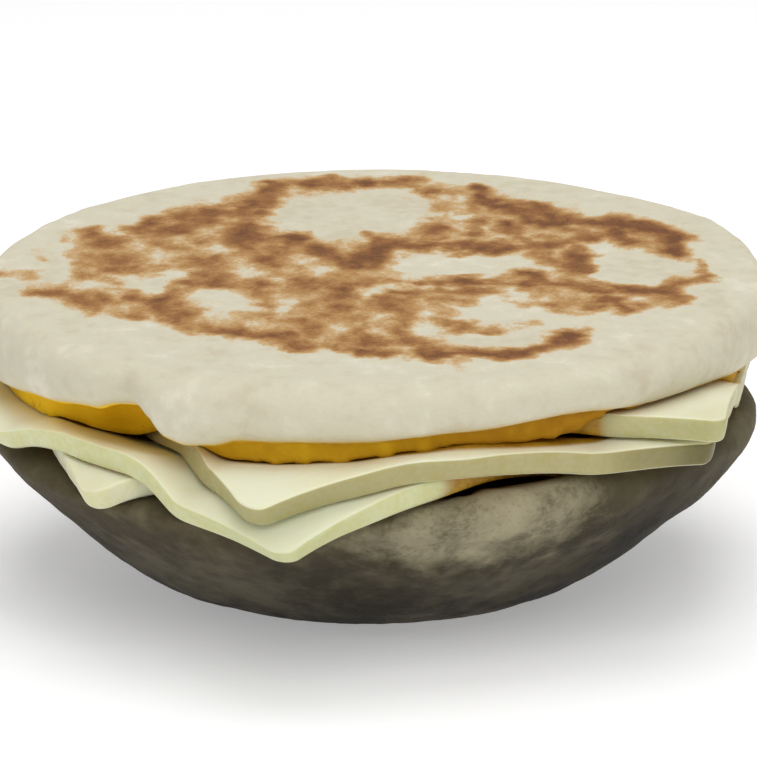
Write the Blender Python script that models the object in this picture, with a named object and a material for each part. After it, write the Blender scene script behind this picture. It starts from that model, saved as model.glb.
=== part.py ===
# A toasted flatbread sandwich: two halves of a round griddled flatbread with four slices of soft cheese
# between them, laid crosswise so that their corners stand out past the bread and hang. It stands free, with
# nothing that moves. Origin: the centre of the flat spot it rests on, +Z up, -Y the front. Azimuths are in
# degrees from the front (-Y) towards +X. Lengths are millimetres until MM makes them metres.
import math

import bpy
import numpy as np

MM = 0.001

# Both halves
BREAD_RADIUS = 50.0
# waves of the outline and soft lumps of the walls: size, how many round the bread, phase, and for the lumps
# how far they turn with each millimetre of height
OUTLINE_WAVES = ((0.22, 2, 0.6), (0.13, 3, 2.0), (0.09, 5, 0.0))
WALL_LUMPS = ((0.21, 4, 0.4, 0.16), (0.14, 7, 2.1, -0.2))
COLUMN_STEP = 5.0           # degrees between columns of faces
FOLD_FROM, FOLD_TO = -47.5, -15.0
FOLD_STEP = 2.5             # finer columns where the lip is folded

# Lower half, a shallow bowl with a rounded rim and a dished cut face
BASE_RADIUS = 22.5          # flat spot it rests on
RIM_HEIGHT = 24.5           # height that the wall's profile is given for
DISH_HEIGHT = 19.2          # middle of the cut face
DISH_FLAT = 35.0            # radius at which the dish starts to rise
DISH_POWER = 2.0
CREST_RADIUS = 46.8         # top of the rim
RIM_STEPS = (0.88, 0.62, 0.3, 0.0)                      # loops from the widest place in to the crest
DISH_STEPS = (0.95, 0.88, 0.79, 0.68, 0.5, 0.25)        # loops from the crest in to the middle
RIM_BY_AZIMUTH = ((-180, 23.4), (-130, 23.4), (-90, 23.7), (-72, 23.4), (-58, 22.1), (-42, 21.2),
                  (-25, 20.9), (-14, 21.1), (-2, 21.8), (8, 22.7), (19, 23.7), (32, 24.2),
                  (50, 24.8), (75, 24.3), (120, 23.7))
CREST_INSET_BY_AZIMUTH = ((-180, 0.3), (-100, 0.5), (-60, 1.4), (-15, 1.7), (8, 0.6), (30, 0.0), (120, 0.0))
# heights between which the wall is lumpy, and the fade above them
LUMPS_FROM, LUMPS_TO, LUMPS_FADE = 4.0, 16.0, 5.0
# radius and height of the wall from the flat spot up to its widest place, for a rim of RIM_HEIGHT
WALL_PROFILE = ((25.6, 0.45), (28.8, 1.5), (32.8, 4.0), (38.0, 8.0), (43.4, 13.0), (47.4, 17.6),
                (49.3, 20.3), (50.0, 22.0))

# Upper half, a round cap with a flat browned top, a soft shoulder and a sharp lip
TOP_HEIGHT = 40.0           # middle of the top face
TOP_TILT = 4.3              # degrees that the top leans towards the front
TOP_ROLL = 0.5              # and towards the left
# radius where the shoulder starts, and how much wider than the bread's radius the cap is
TOP_FLAT_BY_AZIMUTH = ((-180, 46.3), (-115, 46.9), (-90, 47.0), (0, 42.6), (88, 48.2), (112, 48.8),
                       (142, 46.2))
CAP_SPREAD_BY_AZIMUTH = ((-180, 0.0), (-105, 0.9), (-60, 0.2), (0, -0.15), (60, 0.3), (106, 2.2), (150, 0.3))
TOP_STEPS = (0.2, 0.4, 0.6, 0.76, 0.9, 1.0)             # loops from the middle of the top out to the shoulder
SHOULDER_STEPS = (0.2, 0.42, 0.64, 0.84, 1.0)           # loops down the shoulder
SHOULDER_FULLNESS = 2.3     # 2 is a quarter of an ellipse, more is squarer
SHOULDER_LUMPS = 0.5        # share of the walls' lumps on the shoulder
WIDEST_ABOVE_LIP = 2.6
LIP_INSET = 1.6             # lip's radius is this much less than the bread's
LIP_RISE = 0.25             # the underside starts this much above the lip's edge
# radius of the toasted crumb, which stands out under the lip and lies on the cheese
CRUMB_BY_AZIMUTH = ((-180, 46.6), (-70, 46.8), (-58, 46.4), (-51, 44.0), (-46, 40.5), (-36, 40.0), (-31, 43.0),
                    (-26, 46.6), (-15, 47.4), (60, 47.2))
CRUMB_SLANT = 0.3           # its edge leans out by this much towards the lip
# how far below the lip it may reach
CRUMB_DEPTH_BY_AZIMUTH = ((-180, 2.6), (-72, 2.6), (-58, 3.2), (-46, 5.4), (-34, 5.4), (-26, 3.2), (-16, 2.6))
CRUMB_MIDDLE = 28.6         # and no lower than this in the middle
CRUMB_SAG = 0.3             # how closely it follows the cheese: its fall per square millimetre past a support
CRUMB_STEPS = (0.94, 0.86, 0.72, 0.5, 0.25)             # loops from its edge in to the middle
CAP_TURN = 40.0             # the cap's waves and lumps are turned from the lower half's
LIP_BY_AZIMUTH = ((-180, 29.0), (-120, 28.8), (-90, 29.0), (-68, 29.2), (-54, 30.1), (-42, 30.9), (-38, 31.8),
                  (-35, 31.9), (-32, 30.6), (-29, 29.0), (-26, 28.5), (-22, 28.8), (-18, 29.6), (-3, 29.8),
                  (13, 30.7), (29, 31.7), (41, 31.3), (55, 30.9), (75, 30.6), (100, 30.0), (140, 29.2))
FOLD_AZIMUTH = -35.0        # crease in the wall over the notch in the lip
FOLD_DEPTH = 1.1
FOLD_WIDTH = 6.0
BULGE_AZIMUTH = -25.0       # the wall beside the crease stands out
BULGE_DEPTH = 0.7
BULGE_WIDTH = 11.0
ISLAND_DEPTH = 0.3          # pale patches between the browned ones lie this much lower
# centre x and y, half length and half width of the pale patches on the top face
ISLANDS = ((-4.0, 22.0, 13.0, 6.0), (32.0, -2.0, 9.0, 6.0), (10.0, 3.0, 11.0, 3.5), (-15.0, -13.0, 10.0, 4.5),
           (24.0, -20.0, 11.0, 4.5), (-33.0, 2.0, 6.0, 4.0))

# Cheese
SLICE_EDGE = 2.85           # thickness where a slice is free
SLICE_PRESSED = 1.9         # thickness where the bread presses it
PRESSED_WIDTH = 6.0         # from the radius where a slice is free in to where it is fully pressed
GAP = 0.36                  # air between one piece and the next
EDGE_BULGE = 0.3            # how far the middle of a slice's edge stands out
STIFF_SAG = 0.018           # fall per square millimetre past the support, where a slice stays level
SAG_BY_AZIMUTH = ((-180, 0.5), (-120, 0.4), (-84, 0.1), (-70, 0.3), (-54, 1.0), (-4, 1.0), (7, 0.7),
                  (18, 0.2), (30, 0.0), (70, 0.0), (110, 0.35))
HANG_START = 46.5           # radius past which a hanging slice's plan is drawn in
HANG_SHORTENING = 0.30      # and by this share
SLICE_CELLS = 17            # cells along each side of a slice
EDGE_CROWDING = 0.45        # how much closer together they are at the edges

# Each slice laid flat: its corners (front-left, front-right, back-right, back-left), their rounding, how far
# the front and left sides bow out (less than nothing is in), the fall per square millimetre where it hangs,
# and the radius past which it is free
LOWEST_SLICE = {"corners": ((-34.0, -44.0), (22.0, -26.0), (25.0, 39.5), (-47.0, 16.0)),
                "rounding": 3.5, "front_bow": -2.5, "left_bow": 0.5, "sag": 0.11, "free": 49.5}
LOWER_SLICE = {"corners": ((-10.1, -58.0), (27.0, -30.0), (4.0, 48.5), (-55.5, -9.5)),
               "rounding": 2.4, "front_bow": 3.0, "left_bow": 3.2, "sag": 0.13, "free": 50.5}
UPPER_SLICE = {"corners": ((-14.5, -58.5), (41.5, -36.5), (15.0, 43.5), (-42.0, 23.0)),
               "rounding": 4.0, "front_bow": 0.0, "left_bow": 1.4, "sag": 0.25, "free": 46.0}
TOP_SLICE = {"corners": ((-21.0, -27.5), (41.3, -39.5), (51.5, 20.0), (-19.5, 33.0)),
             "rounding": 1.6, "front_bow": 2.0, "left_bow": 0.0, "sag": 0.1, "free": 46.5}

# Plan grid that the slices are draped on
GRID_REACH = 64.0
GRID_STEP = 0.5
LIFT_ROUNDS = 5
CELL_SAMPLES = 9            # test points along each side of a cell
FOOTPRINT_MARGIN = 3        # grid steps round a slice that still hold it up
SPREAD_REACH = 14.0         # a support holds a sheet up no farther away than this
SOFTEN_ROUNDS = 24          # smoothing of a draped sheet
NORMAL_ROUNDS = 12          # and again before its normals are taken
NOTHING = -1000.0


def smooth(value):
    # 3t^2 - 2t^3, held between 0 and 1
    t = np.clip(value, 0.0, 1.0)
    return t * t * (3.0 - 2.0 * t)


def around(azimuth, stations):
    # value at an azimuth, eased from one station to the next and closed round the circle
    at = np.array([s[0] for s in stations] + [stations[0][0] + 360.0])
    values = np.array([s[1] for s in stations] + [stations[0][1]])
    turned = np.mod(np.asarray(azimuth, float) - at[0], 360.0) + at[0]
    k = np.clip(np.searchsorted(at, turned, side="right") - 1, 0, len(stations) - 1)
    share = smooth((turned - at[k]) / (at[k + 1] - at[k]))
    return values[k] + (values[k + 1] - values[k]) * share


def azimuth_of(x, y):
    return np.degrees(np.arctan2(x, -y))


def bump(azimuth, middle, half_width):
    # 1 at the middle azimuth, falling to 0 at half_width degrees from it
    away = np.abs(np.mod(azimuth - middle + 180.0, 360.0) - 180.0)
    return smooth(1.0 - away / half_width)


def outline(azimuth):
    # the bread's slightly uneven radius
    a = np.radians(azimuth)
    return sum(size * np.sin(count * a + phase) for size, count, phase in OUTLINE_WAVES)


def lumps(azimuth, height):
    # soft swellings of a wall, round it and up it
    a = np.radians(azimuth)
    return sum(size * np.sin(count * a + phase + up * height) for size, count, phase, up in WALL_LUMPS)


def bread_azimuths():
    # columns every COLUMN_STEP degrees, and twice as fine where the lip is folded
    coarse = np.arange(-180.0, 180.0, COLUMN_STEP)
    fine = np.arange(FOLD_FROM, FOLD_TO, FOLD_STEP)
    return np.unique(np.concatenate([coarse, fine]))


def cut_face(radius, azimuth):
    # height of the lower half's upper side: flat dish, rise to the rim's crest, quarter round down to the
    # widest place
    rim = around(azimuth, RIM_BY_AZIMUTH)
    crest = CREST_RADIUS - around(azimuth, CREST_INSET_BY_AZIMUTH)
    widest = rim_widest(azimuth)
    edge = BREAD_RADIUS + outline(azimuth)
    rise = np.clip((radius - DISH_FLAT) / (crest - DISH_FLAT), 0.0, 1.0) ** DISH_POWER
    dish = DISH_HEIGHT + (rim - DISH_HEIGHT) * rise
    past = np.clip((radius - crest) / (edge - crest), 0.0, 1.0)
    roll = (rim - widest) * (1.0 - np.sqrt(1.0 - past * past))
    return dish - roll


def rim_widest(azimuth):
    # height of the lower half's widest place
    return lift_by_rim(WALL_PROFILE[-1][1], azimuth)


def lift_by_rim(height, azimuth):
    # a wall height carried up or down with the rim, less so nearer the base
    rim = around(azimuth, RIM_BY_AZIMUTH)
    return height * (1.0 + (rim / RIM_HEIGHT - 1.0) * (height / RIM_HEIGHT) ** 1.5)


def ring(azimuth, radius, height):
    # one loop of points round the axis
    a = np.radians(azimuth)
    r = np.broadcast_to(radius, a.shape)
    z = np.broadcast_to(height, a.shape)
    return np.stack([r * np.sin(a), -r * np.cos(a), z], -1)


def lower_bread_rings(azimuth):
    rings = [ring(azimuth, BASE_RADIUS * 0.5, 0.0), ring(azimuth, BASE_RADIUS, 0.0)]
    for radius, height in WALL_PROFILE:
        share = radius / BREAD_RADIUS
        z = lift_by_rim(height, azimuth)
        widest = radius == WALL_PROFILE[-1][0]
        fade = 1.0 - smooth((height - LUMPS_TO) / LUMPS_FADE)
        soft = 0.0 if widest else smooth(height / LUMPS_FROM) * fade
        rings.append(ring(azimuth, radius + outline(azimuth) * share + lumps(azimuth, height) * soft, z))
    crest = CREST_RADIUS - around(azimuth, CREST_INSET_BY_AZIMUTH)
    edge = BREAD_RADIUS + outline(azimuth)
    for share in RIM_STEPS:
        radius = crest + (edge - crest) * share
        rings.append(ring(azimuth, radius, cut_face(radius, azimuth)))
    for share in DISH_STEPS:
        radius = crest * share
        rings.append(ring(azimuth, radius, cut_face(radius, azimuth)))
    return rings


def top_plane(x, y):
    return TOP_HEIGHT + math.tan(math.radians(TOP_TILT)) * y + math.tan(math.radians(TOP_ROLL)) * x


def top_relief(x, y):
    # pale patches lie lower than the browned face
    sink = np.zeros_like(x)
    for cx, cy, half_x, half_y in ISLANDS:
        away = np.hypot((x - cx) / half_x, (y - cy) / half_y)
        sink = np.maximum(sink, smooth(1.6 - away))
    return -ISLAND_DEPTH * sink


def upper_radius(azimuth):
    # the cap's outline, creased in over the notch and standing out beside it
    crease = FOLD_DEPTH * bump(azimuth, FOLD_AZIMUTH, FOLD_WIDTH)
    bulge = BULGE_DEPTH * bump(azimuth, BULGE_AZIMUTH, BULGE_WIDTH)
    spread_out = around(azimuth, CAP_SPREAD_BY_AZIMUTH)
    return BREAD_RADIUS + spread_out + outline(azimuth + CAP_TURN) - crease + bulge


def upper_bread_rings(azimuth, support):
    # from the top's middle outwards, over the shoulder, down to the lip, and back in under the cap
    rings = []
    a = np.radians(azimuth)
    edge = upper_radius(azimuth)
    clear = drape(support, STIFF_SAG)
    at_lip = sample(clear, (edge - LIP_INSET) * np.sin(a), -(edge - LIP_INSET) * np.cos(a))
    lip = np.maximum(around(azimuth, LIP_BY_AZIMUTH), at_lip)
    flat = around(azimuth, TOP_FLAT_BY_AZIMUTH)
    for share in TOP_STEPS:
        x, y = flat * share * np.sin(a), -flat * share * np.cos(a)
        rings.append(ring(azimuth, flat * share, top_plane(x, y) + top_relief(x, y)))
    start = top_plane(flat * np.sin(a), -flat * np.cos(a))
    widest = lip + WIDEST_ABOVE_LIP
    for turn in SHOULDER_STEPS:
        c = math.cos(turn * math.pi / 2.0) ** (2.0 / SHOULDER_FULLNESS)
        s = math.sin(turn * math.pi / 2.0) ** (2.0 / SHOULDER_FULLNESS)
        radius = flat + (edge - flat) * s
        height = widest + (start - widest) * c
        swell = lumps(azimuth + CAP_TURN, height) * SHOULDER_LUMPS
        rings.append(ring(azimuth, radius + swell * math.sin(turn * math.pi), height))
    rings.append(ring(azimuth, edge - LIP_INSET * 0.35, lip + WIDEST_ABOVE_LIP * 0.4))
    rings.append(ring(azimuth, edge - LIP_INSET, lip))
    crumb = around(azimuth, CRUMB_BY_AZIMUTH)
    depth = around(azimuth, CRUMB_DEPTH_BY_AZIMUTH)
    bed = drape_evenly(support, CRUMB_SAG)
    under = [ring(azimuth, crumb + CRUMB_SLANT, lip + LIP_RISE)]
    for share in (1.0,) + CRUMB_STEPS:
        radius = crumb * share
        lowest = CRUMB_MIDDLE + (lip - depth - CRUMB_MIDDLE) * share
        on_bed = sample(bed, radius * np.sin(a), -radius * np.cos(a))
        under.append(ring(azimuth, radius, np.maximum(lowest, on_bed)))
    under = np.array([rings[-1]] + under)
    closed = np.concatenate([under, under[:, :1]], axis=1)
    lifted = lift_clear(closed[..., 0], closed[..., 1], closed[..., 2], support)
    lifted[:, 0] = lifted[:, -1] = np.maximum(lifted[:, 0], lifted[:, -1])
    closed[1:, :, 2] = lifted[1:]
    return rings + [loop for loop in closed[1:, :-1]]


def closed_turning(rings, first_pole, last_pole):
    # joins rings of equal length into one closed skin with a fan at each end
    count = len(rings[0])
    verts = np.concatenate([[first_pole]] + rings + [[last_pole]])
    faces = []
    k = np.arange(count)
    following = (k + 1) % count
    faces += [(0, 1 + int(i), 1 + int(j)) for i, j in zip(k, following)]
    for row in range(len(rings) - 1):
        low = 1 + row * count
        high = low + count
        for i, j in zip(k, following):
            faces.append((low + int(i), high + int(i), high + int(j), low + int(j)))
    last = 1 + (len(rings) - 1) * count
    end = len(verts) - 1
    faces += [(last + int(i), end, last + int(j)) for i, j in zip(k, following)]
    return verts, faces


def plan_grid():
    line = np.arange(-GRID_REACH, GRID_REACH + GRID_STEP * 0.5, GRID_STEP)
    return np.meshgrid(line, line, indexing="ij")


def sample(field, x, y):
    # a grid's value between its points, bilinear
    n = field.shape[0]
    i = np.clip((x + GRID_REACH) / GRID_STEP, 0.0, n - 1.001)
    j = np.clip((y + GRID_REACH) / GRID_STEP, 0.0, n - 1.001)
    i0, j0 = i.astype(int), j.astype(int)
    u, v = i - i0, j - j0
    low = field[i0, j0] * (1.0 - u) + field[i0 + 1, j0] * u
    high = field[i0, j0 + 1] * (1.0 - u) + field[i0 + 1, j0 + 1] * u
    return low * (1.0 - v) + high * v


def slopes(field):
    return np.gradient(field, GRID_STEP, axis=0), np.gradient(field, GRID_STEP, axis=1)


def spread(field, sag):
    # the lowest sheet over a field whose every support it leaves along a parabola of the given sag
    out = field.copy()
    reach = int(SPREAD_REACH / GRID_STEP)
    for axis in (0, 1):
        base = out.copy()
        for step in range(1, reach + 1):
            fall = sag * (step * GRID_STEP) ** 2
            ahead = [slice(None), slice(None)]
            behind = [slice(None), slice(None)]
            ahead[axis] = slice(step, None)
            behind[axis] = slice(None, -step)
            out[tuple(ahead)] = np.maximum(out[tuple(ahead)], base[tuple(behind)] - fall)
            out[tuple(behind)] = np.maximum(out[tuple(behind)], base[tuple(ahead)] - fall)
    return out


def soften(field, floor, rounds):
    # evens a sheet out without letting it fall under its floor
    out = field.copy()
    for _ in range(rounds):
        beside = out[2:, 1:-1] + out[:-2, 1:-1] + out[1:-1, 2:] + out[1:-1, :-2]
        out[1:-1, 1:-1] = np.maximum(out[1:-1, 1:-1] * 0.5 + beside * 0.125, floor[1:-1, 1:-1])
    return out


def drape(support, sag):
    # underside of a sheet laid on a support: soft where slices hang, level where they are stiff
    x, y = plan_grid()
    hang = around(azimuth_of(x, y), SAG_BY_AZIMUTH)
    soft = spread(support, sag)
    stiff = spread(support, STIFF_SAG)
    return over_gap(soften(stiff + (soft - stiff) * hang, support, SOFTEN_ROUNDS))


def drape_evenly(support, sag):
    # the same, equally soft all round
    return over_gap(soften(spread(support, sag), support, SOFTEN_ROUNDS))


def over_gap(sheet):
    # a sheet moved off its support by GAP along its normal
    sx, sy = slopes(sheet)
    return sheet + GAP * np.sqrt(1.0 + sx * sx + sy * sy)


def round_corners(s, t, share):
    # pulls the unit square's corners onto quarter circles of the given share of its side
    p = np.clip((np.abs(s - 0.5) - (0.5 - share)) / share, 0.0, 1.0)
    q = np.clip((np.abs(t - 0.5) - (0.5 - share)) / share, 0.0, 1.0)
    both = (p > 0.0) & (q > 0.0)
    p_in = np.where(both, p * np.sqrt(1.0 - q * q / 2.0), p)
    q_in = np.where(both, q * np.sqrt(1.0 - p * p / 2.0), q)
    s_in = np.where(p > 0.0, 0.5 + np.sign(s - 0.5) * (0.5 - share + share * p_in), s)
    t_in = np.where(q > 0.0, 0.5 + np.sign(t - 0.5) * (0.5 - share + share * q_in), t)
    return s_in, t_in


def slice_plan(plan, cells):
    # grid of plan points of a slice, closer together towards its edges, drawn in where it hangs over the rim
    spots = [np.array(corner) for corner in plan["corners"]]
    line = np.linspace(-1.0, 1.0, cells + 1)
    line = 0.5 + 0.5 * ((1.0 - EDGE_CROWDING) * line + EDGE_CROWDING * np.sin(line * math.pi / 2.0))
    s, t = np.meshgrid(line, line, indexing="ij")
    s, t = round_corners(s, t, plan["rounding"] / math.dist(spots[0], spots[3]))
    shares = ((1 - s) * (1 - t), s * (1 - t), s * t, (1 - s) * t)
    x = sum(share * spot[0] for share, spot in zip(shares, spots))
    y = sum(share * spot[1] for share, spot in zip(shares, spots))
    front = (spots[1] - spots[0]) / np.linalg.norm(spots[1] - spots[0])
    left = (spots[3] - spots[0]) / np.linalg.norm(spots[3] - spots[0])
    out = plan["front_bow"] * 4.0 * s * (1.0 - s) * (1.0 - t)
    away = plan["left_bow"] * 4.0 * t * (1.0 - t) * (1.0 - s)
    x, y = x + out * front[1] - away * left[1], y - out * front[0] + away * left[0]
    r = np.hypot(x, y)
    hang = around(azimuth_of(x, y), SAG_BY_AZIMUTH)
    drawn = r - HANG_SHORTENING * hang * np.maximum(r - HANG_START, 0.0)
    scale = drawn / np.maximum(r, 1e-6)
    return x * scale, y * scale


def cell_samples(grid):
    # points spread over both triangles of every cell of a grid of values, split as the faces are
    a, b, c, d = grid[:-1, :-1], grid[1:, :-1], grid[1:, 1:], grid[:-1, 1:]
    out = []
    steps = np.linspace(0.0, 1.0, CELL_SAMPLES)
    for u in steps:
        for v in steps:
            if v <= u:
                out.append(a + (b - a) * (u - v) + (c - a) * v)
            else:
                out.append(a + (d - a) * (v - u) + (c - a) * u)
    return np.stack(out)


def widened(field, steps):
    # each grid value becomes the highest within a square of the given reach
    out = field.copy()
    for axis in (0, 1):
        base = out.copy()
        for step in range(1, steps + 1):
            out = np.maximum(out, np.maximum(np.roll(base, step, axis), np.roll(base, -step, axis)))
    return out


def under_slice(x, y, support):
    # the support where the slice lies, and nothing elsewhere
    covered = np.full_like(support, NOTHING)
    i = np.rint((cell_samples(x).ravel() + GRID_REACH) / GRID_STEP).astype(int)
    j = np.rint((cell_samples(y).ravel() + GRID_REACH) / GRID_STEP).astype(int)
    covered[i, j] = 0.0
    return np.where(widened(covered, FOOTPRINT_MARGIN) > NOTHING, support, NOTHING)


def lift_clear(x, y, z, support):
    # raises the corners of any cell whose flat faces would come closer than a gap to the support
    floor = sample(widened(support, 1), cell_samples(x), cell_samples(y)) + GAP
    for _ in range(LIFT_ROUNDS):
        short = np.max(floor - cell_samples(z), axis=0)
        short = np.maximum(short, 0.0)
        lift = np.zeros_like(z)
        for view in (lift[:-1, :-1], lift[1:, :-1], lift[1:, 1:], lift[:-1, 1:]):
            np.maximum(view, short, out=view)
        z = z + lift
    return z


def slice_skins(plan, support):
    # bottom and top points of a slice laid on a support, the top one thickness off along the sheet's normal
    x, y = slice_plan(plan, SLICE_CELLS)
    below = under_slice(x, y, support)
    sheet = drape(below, plan["sag"])
    z = lift_clear(x, y, sample(sheet, x, y), below)
    sx, sy = slopes(soften(sheet, np.full_like(sheet, NOTHING), NORMAL_ROUNDS))
    nx, ny = -sample(sx, x, y), -sample(sy, x, y)
    length = np.sqrt(nx * nx + ny * ny + 1.0)
    free = smooth((np.hypot(x, y) - plan["free"] + PRESSED_WIDTH) / PRESSED_WIDTH)
    thick = SLICE_PRESSED + (SLICE_EDGE - SLICE_PRESSED) * free
    bottom = np.stack([x, y, z], -1)
    top = bottom + np.stack([nx, ny, np.ones_like(nx)], -1) * (thick / length)[..., None]
    return bottom, top


def raised(support, top):
    # the support with a slice's top laid over it
    out = support.copy()
    px, py, pz = (cell_samples(top[..., k]).ravel() for k in range(3))
    i = np.rint((px + GRID_REACH) / GRID_STEP).astype(int)
    j = np.rint((py + GRID_REACH) / GRID_STEP).astype(int)
    np.maximum.at(out, (i, j), pz)
    return out


def border(cells):
    # indices round the edge of a square grid of points, counter-clockwise
    n = cells
    path = [(i, 0) for i in range(n)] + [(n, j) for j in range(n)]
    return path + [(i, n) for i in range(n, 0, -1)] + [(0, j) for j in range(n, 0, -1)]


def slice_mesh(bottom, top):
    # two alike-split skins joined by an edge that stands out a little half-way up
    n = SLICE_CELLS
    width = n + 1
    edge = border(n)
    low = np.array([bottom[i, j] for i, j in edge])
    high = np.array([top[i, j] for i, j in edge])
    along = np.roll(low, -1, axis=0) - np.roll(low, 1, axis=0)
    out = np.stack([along[:, 1], -along[:, 0], np.zeros(len(edge))], -1)
    out /= np.linalg.norm(out, axis=1)[:, None]
    middle = (low + high) * 0.5 + out * EDGE_BULGE
    verts = np.concatenate([bottom.reshape(-1, 3), top.reshape(-1, 3), middle])
    lift = width * width
    faces = []
    for i in range(n):
        for j in range(n):
            a, b = i * width + j, (i + 1) * width + j
            c, d = b + 1, a + 1
            faces += [(a, c, b), (a, d, c), (lift + a, lift + b, lift + c), (lift + a, lift + c, lift + d)]
    for k, (i, j) in enumerate(edge):
        m = (k + 1) % len(edge)
        p, q = i * width + j, edge[m][0] * width + edge[m][1]
        faces += [(p, q, 2 * lift + m, 2 * lift + k), (2 * lift + k, 2 * lift + m, lift + q, lift + p)]
    return verts, faces


def add_piece(name, verts, faces, colour, roughness, sharp):
    mesh = bpy.data.meshes.new(name)
    mesh.from_pydata((np.asarray(verts) * MM).tolist(), [], faces)
    mesh.validate()
    mesh.shade_smooth()
    mesh.set_sharp_from_angle(angle=math.radians(sharp))
    material = bpy.data.materials.new(name)
    material.use_nodes = True
    shader = material.node_tree.nodes["Principled BSDF"]
    shader.inputs["Base Color"].default_value = (*colour, 1.0)
    shader.inputs["Roughness"].default_value = roughness
    shader.inputs["Metallic"].default_value = 0.0
    mesh.materials.append(material)
    piece = bpy.data.objects.new(name, mesh)
    bpy.context.collection.objects.link(piece)
    return piece


def add_lower_bread(azimuth):
    rings = lower_bread_rings(azimuth)
    verts, faces = closed_turning(rings, (0.0, 0.0, 0.0), (0.0, 0.0, DISH_HEIGHT))
    add_piece("lower_bread", verts, [f[::-1] for f in faces], (0.26, 0.21, 0.13), 0.8, 50.0)


def add_upper_bread(azimuth, support):
    rings = upper_bread_rings(azimuth, support)
    under = float(rings[-1][:, 2].max())
    verts, faces = closed_turning(rings, (0.0, 0.0, TOP_HEIGHT), (0.0, 0.0, under))
    add_piece("upper_bread", verts, faces, (0.62, 0.54, 0.38), 0.75, 50.0)


def add_slice(name, plan, support, colour):
    # lays one slice and gives back the support that the next piece lies on
    bottom, top = slice_skins(plan, support)
    verts, faces = slice_mesh(bottom, top)
    add_piece(name, verts, faces, colour, 0.42, 50.0)
    return raised(support, top)


def main():
    for old in list(bpy.data.objects):
        bpy.data.objects.remove(old)
    azimuth = bread_azimuths()
    add_lower_bread(azimuth)
    x, y = plan_grid()
    radius, turn = np.hypot(x, y), azimuth_of(x, y)
    support = np.where(radius <= BREAD_RADIUS + outline(turn), cut_face(radius, turn), NOTHING)
    support = add_slice("cheese_slice_lowest", LOWEST_SLICE, support, (0.76, 0.70, 0.44))
    support = add_slice("cheese_slice_lower", LOWER_SLICE, support, (0.76, 0.70, 0.42))
    support = add_slice("cheese_slice_upper", UPPER_SLICE, support, (0.74, 0.68, 0.40))
    support = add_slice("cheese_slice_top", TOP_SLICE, support, (0.72, 0.68, 0.44))
    add_upper_bread(azimuth, support)


main()
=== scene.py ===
import math

import bpy
import numpy as np
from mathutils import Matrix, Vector


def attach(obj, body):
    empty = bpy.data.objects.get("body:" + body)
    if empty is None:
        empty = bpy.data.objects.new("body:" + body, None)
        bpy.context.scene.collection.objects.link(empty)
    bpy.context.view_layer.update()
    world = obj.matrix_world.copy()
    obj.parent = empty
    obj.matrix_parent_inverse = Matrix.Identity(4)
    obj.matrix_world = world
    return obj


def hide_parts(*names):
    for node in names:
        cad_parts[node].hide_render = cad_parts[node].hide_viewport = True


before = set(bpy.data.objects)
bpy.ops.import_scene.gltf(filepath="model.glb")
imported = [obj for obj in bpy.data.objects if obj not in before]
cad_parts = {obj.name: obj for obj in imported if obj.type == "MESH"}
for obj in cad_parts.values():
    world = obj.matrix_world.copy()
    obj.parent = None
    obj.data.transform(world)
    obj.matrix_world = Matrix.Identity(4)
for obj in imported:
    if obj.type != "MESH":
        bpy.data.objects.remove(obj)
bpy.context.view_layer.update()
mm = 0.001  # everything below is worked out in millimetres


def smoothStep(value):
    # 3t^2 - 2t^3, with t held between 0 and 1
    t = np.clip(value, 0.0, 1.0)
    return t * t * (3.0 - 2.0 * t)


def aroundRing(azimuth, stations):
    # value at an azimuth, eased by smoothStep from one (azimuth, value) station to the next, round the circle
    at = np.array([s[0] for s in stations] + [stations[0][0] + 360.0])
    values = np.array([s[1] for s in stations] + [stations[0][1]])
    turned = np.mod(np.asarray(azimuth, float) - at[0], 360.0) + at[0]
    k = np.clip(np.searchsorted(at, turned, side="right") - 1, 0, len(stations) - 1)
    share = smoothStep((turned - at[k]) / (at[k + 1] - at[k]))
    return values[k] + (values[k + 1] - values[k]) * share


def azimuthOf(x, y):
    # degrees from the front (-Y) towards +X
    return np.degrees(np.arctan2(x, -y))


def angleBump(azimuth, middle, halfWidth):
    # 1 at the middle azimuth, easing to 0 at halfWidth degrees from it
    away = np.abs(np.mod(azimuth - middle + 180.0, 360.0) - 180.0)
    return smoothStep(1.0 - away / halfWidth)


def softNoise(points, cell, seed):
    # random values from -1 to 1 on a cubic lattice of the given cell, eased between the eight nearest
    lattice = np.random.default_rng(seed).random((24, 24, 24)) * 2.0 - 1.0
    p = points / cell + 57.3
    base = np.floor(p).astype(int)
    f = p - base
    f = f * f * (3.0 - 2.0 * f)
    total = np.zeros(points.shape[:-1])
    for corner in np.ndindex(2, 2, 2):
        weight = np.ones_like(total)
        for k in range(3):
            weight = weight * (f[..., k] if corner[k] else 1.0 - f[..., k])
        i, j, k = (np.mod(base[..., n] + corner[n], 24) for n in range(3))
        total += weight * lattice[i, j, k]
    return total


def layeredNoise(points, cell, seed, layers=3):
    # soft noise plus half as much at half the cell, and so on
    total, size, reach = 0.0, 1.0, 0.0
    for n in range(layers):
        total = total + size * softNoise(points, cell / 2**n, seed + n)
        reach += size
        size *= 0.5
    return total / reach


def srgb(r, g, b):
    # 0-255 display colour to the linear one that shaders take: a straight foot, then a power of 2.4
    shares = [c / 255 for c in (r, g, b)]
    return tuple(c / 12.92 if c < 0.0405 else ((c + 0.055) / 1.055) ** 2.4 for c in shares) + (1.0,)


def meshPiece(name, verts, faces, sharp=None):
    # millimetre points and face index lists to a smooth-shaded object at the origin
    mesh = bpy.data.meshes.new(name)
    mesh.from_pydata((np.asarray(verts) * mm).tolist(), [], faces)
    mesh.shade_smooth()
    if sharp:
        mesh.set_sharp_from_angle(angle=math.radians(sharp))
    piece = bpy.data.objects.new(name, mesh)
    bpy.context.collection.objects.link(piece)
    return piece


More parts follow.
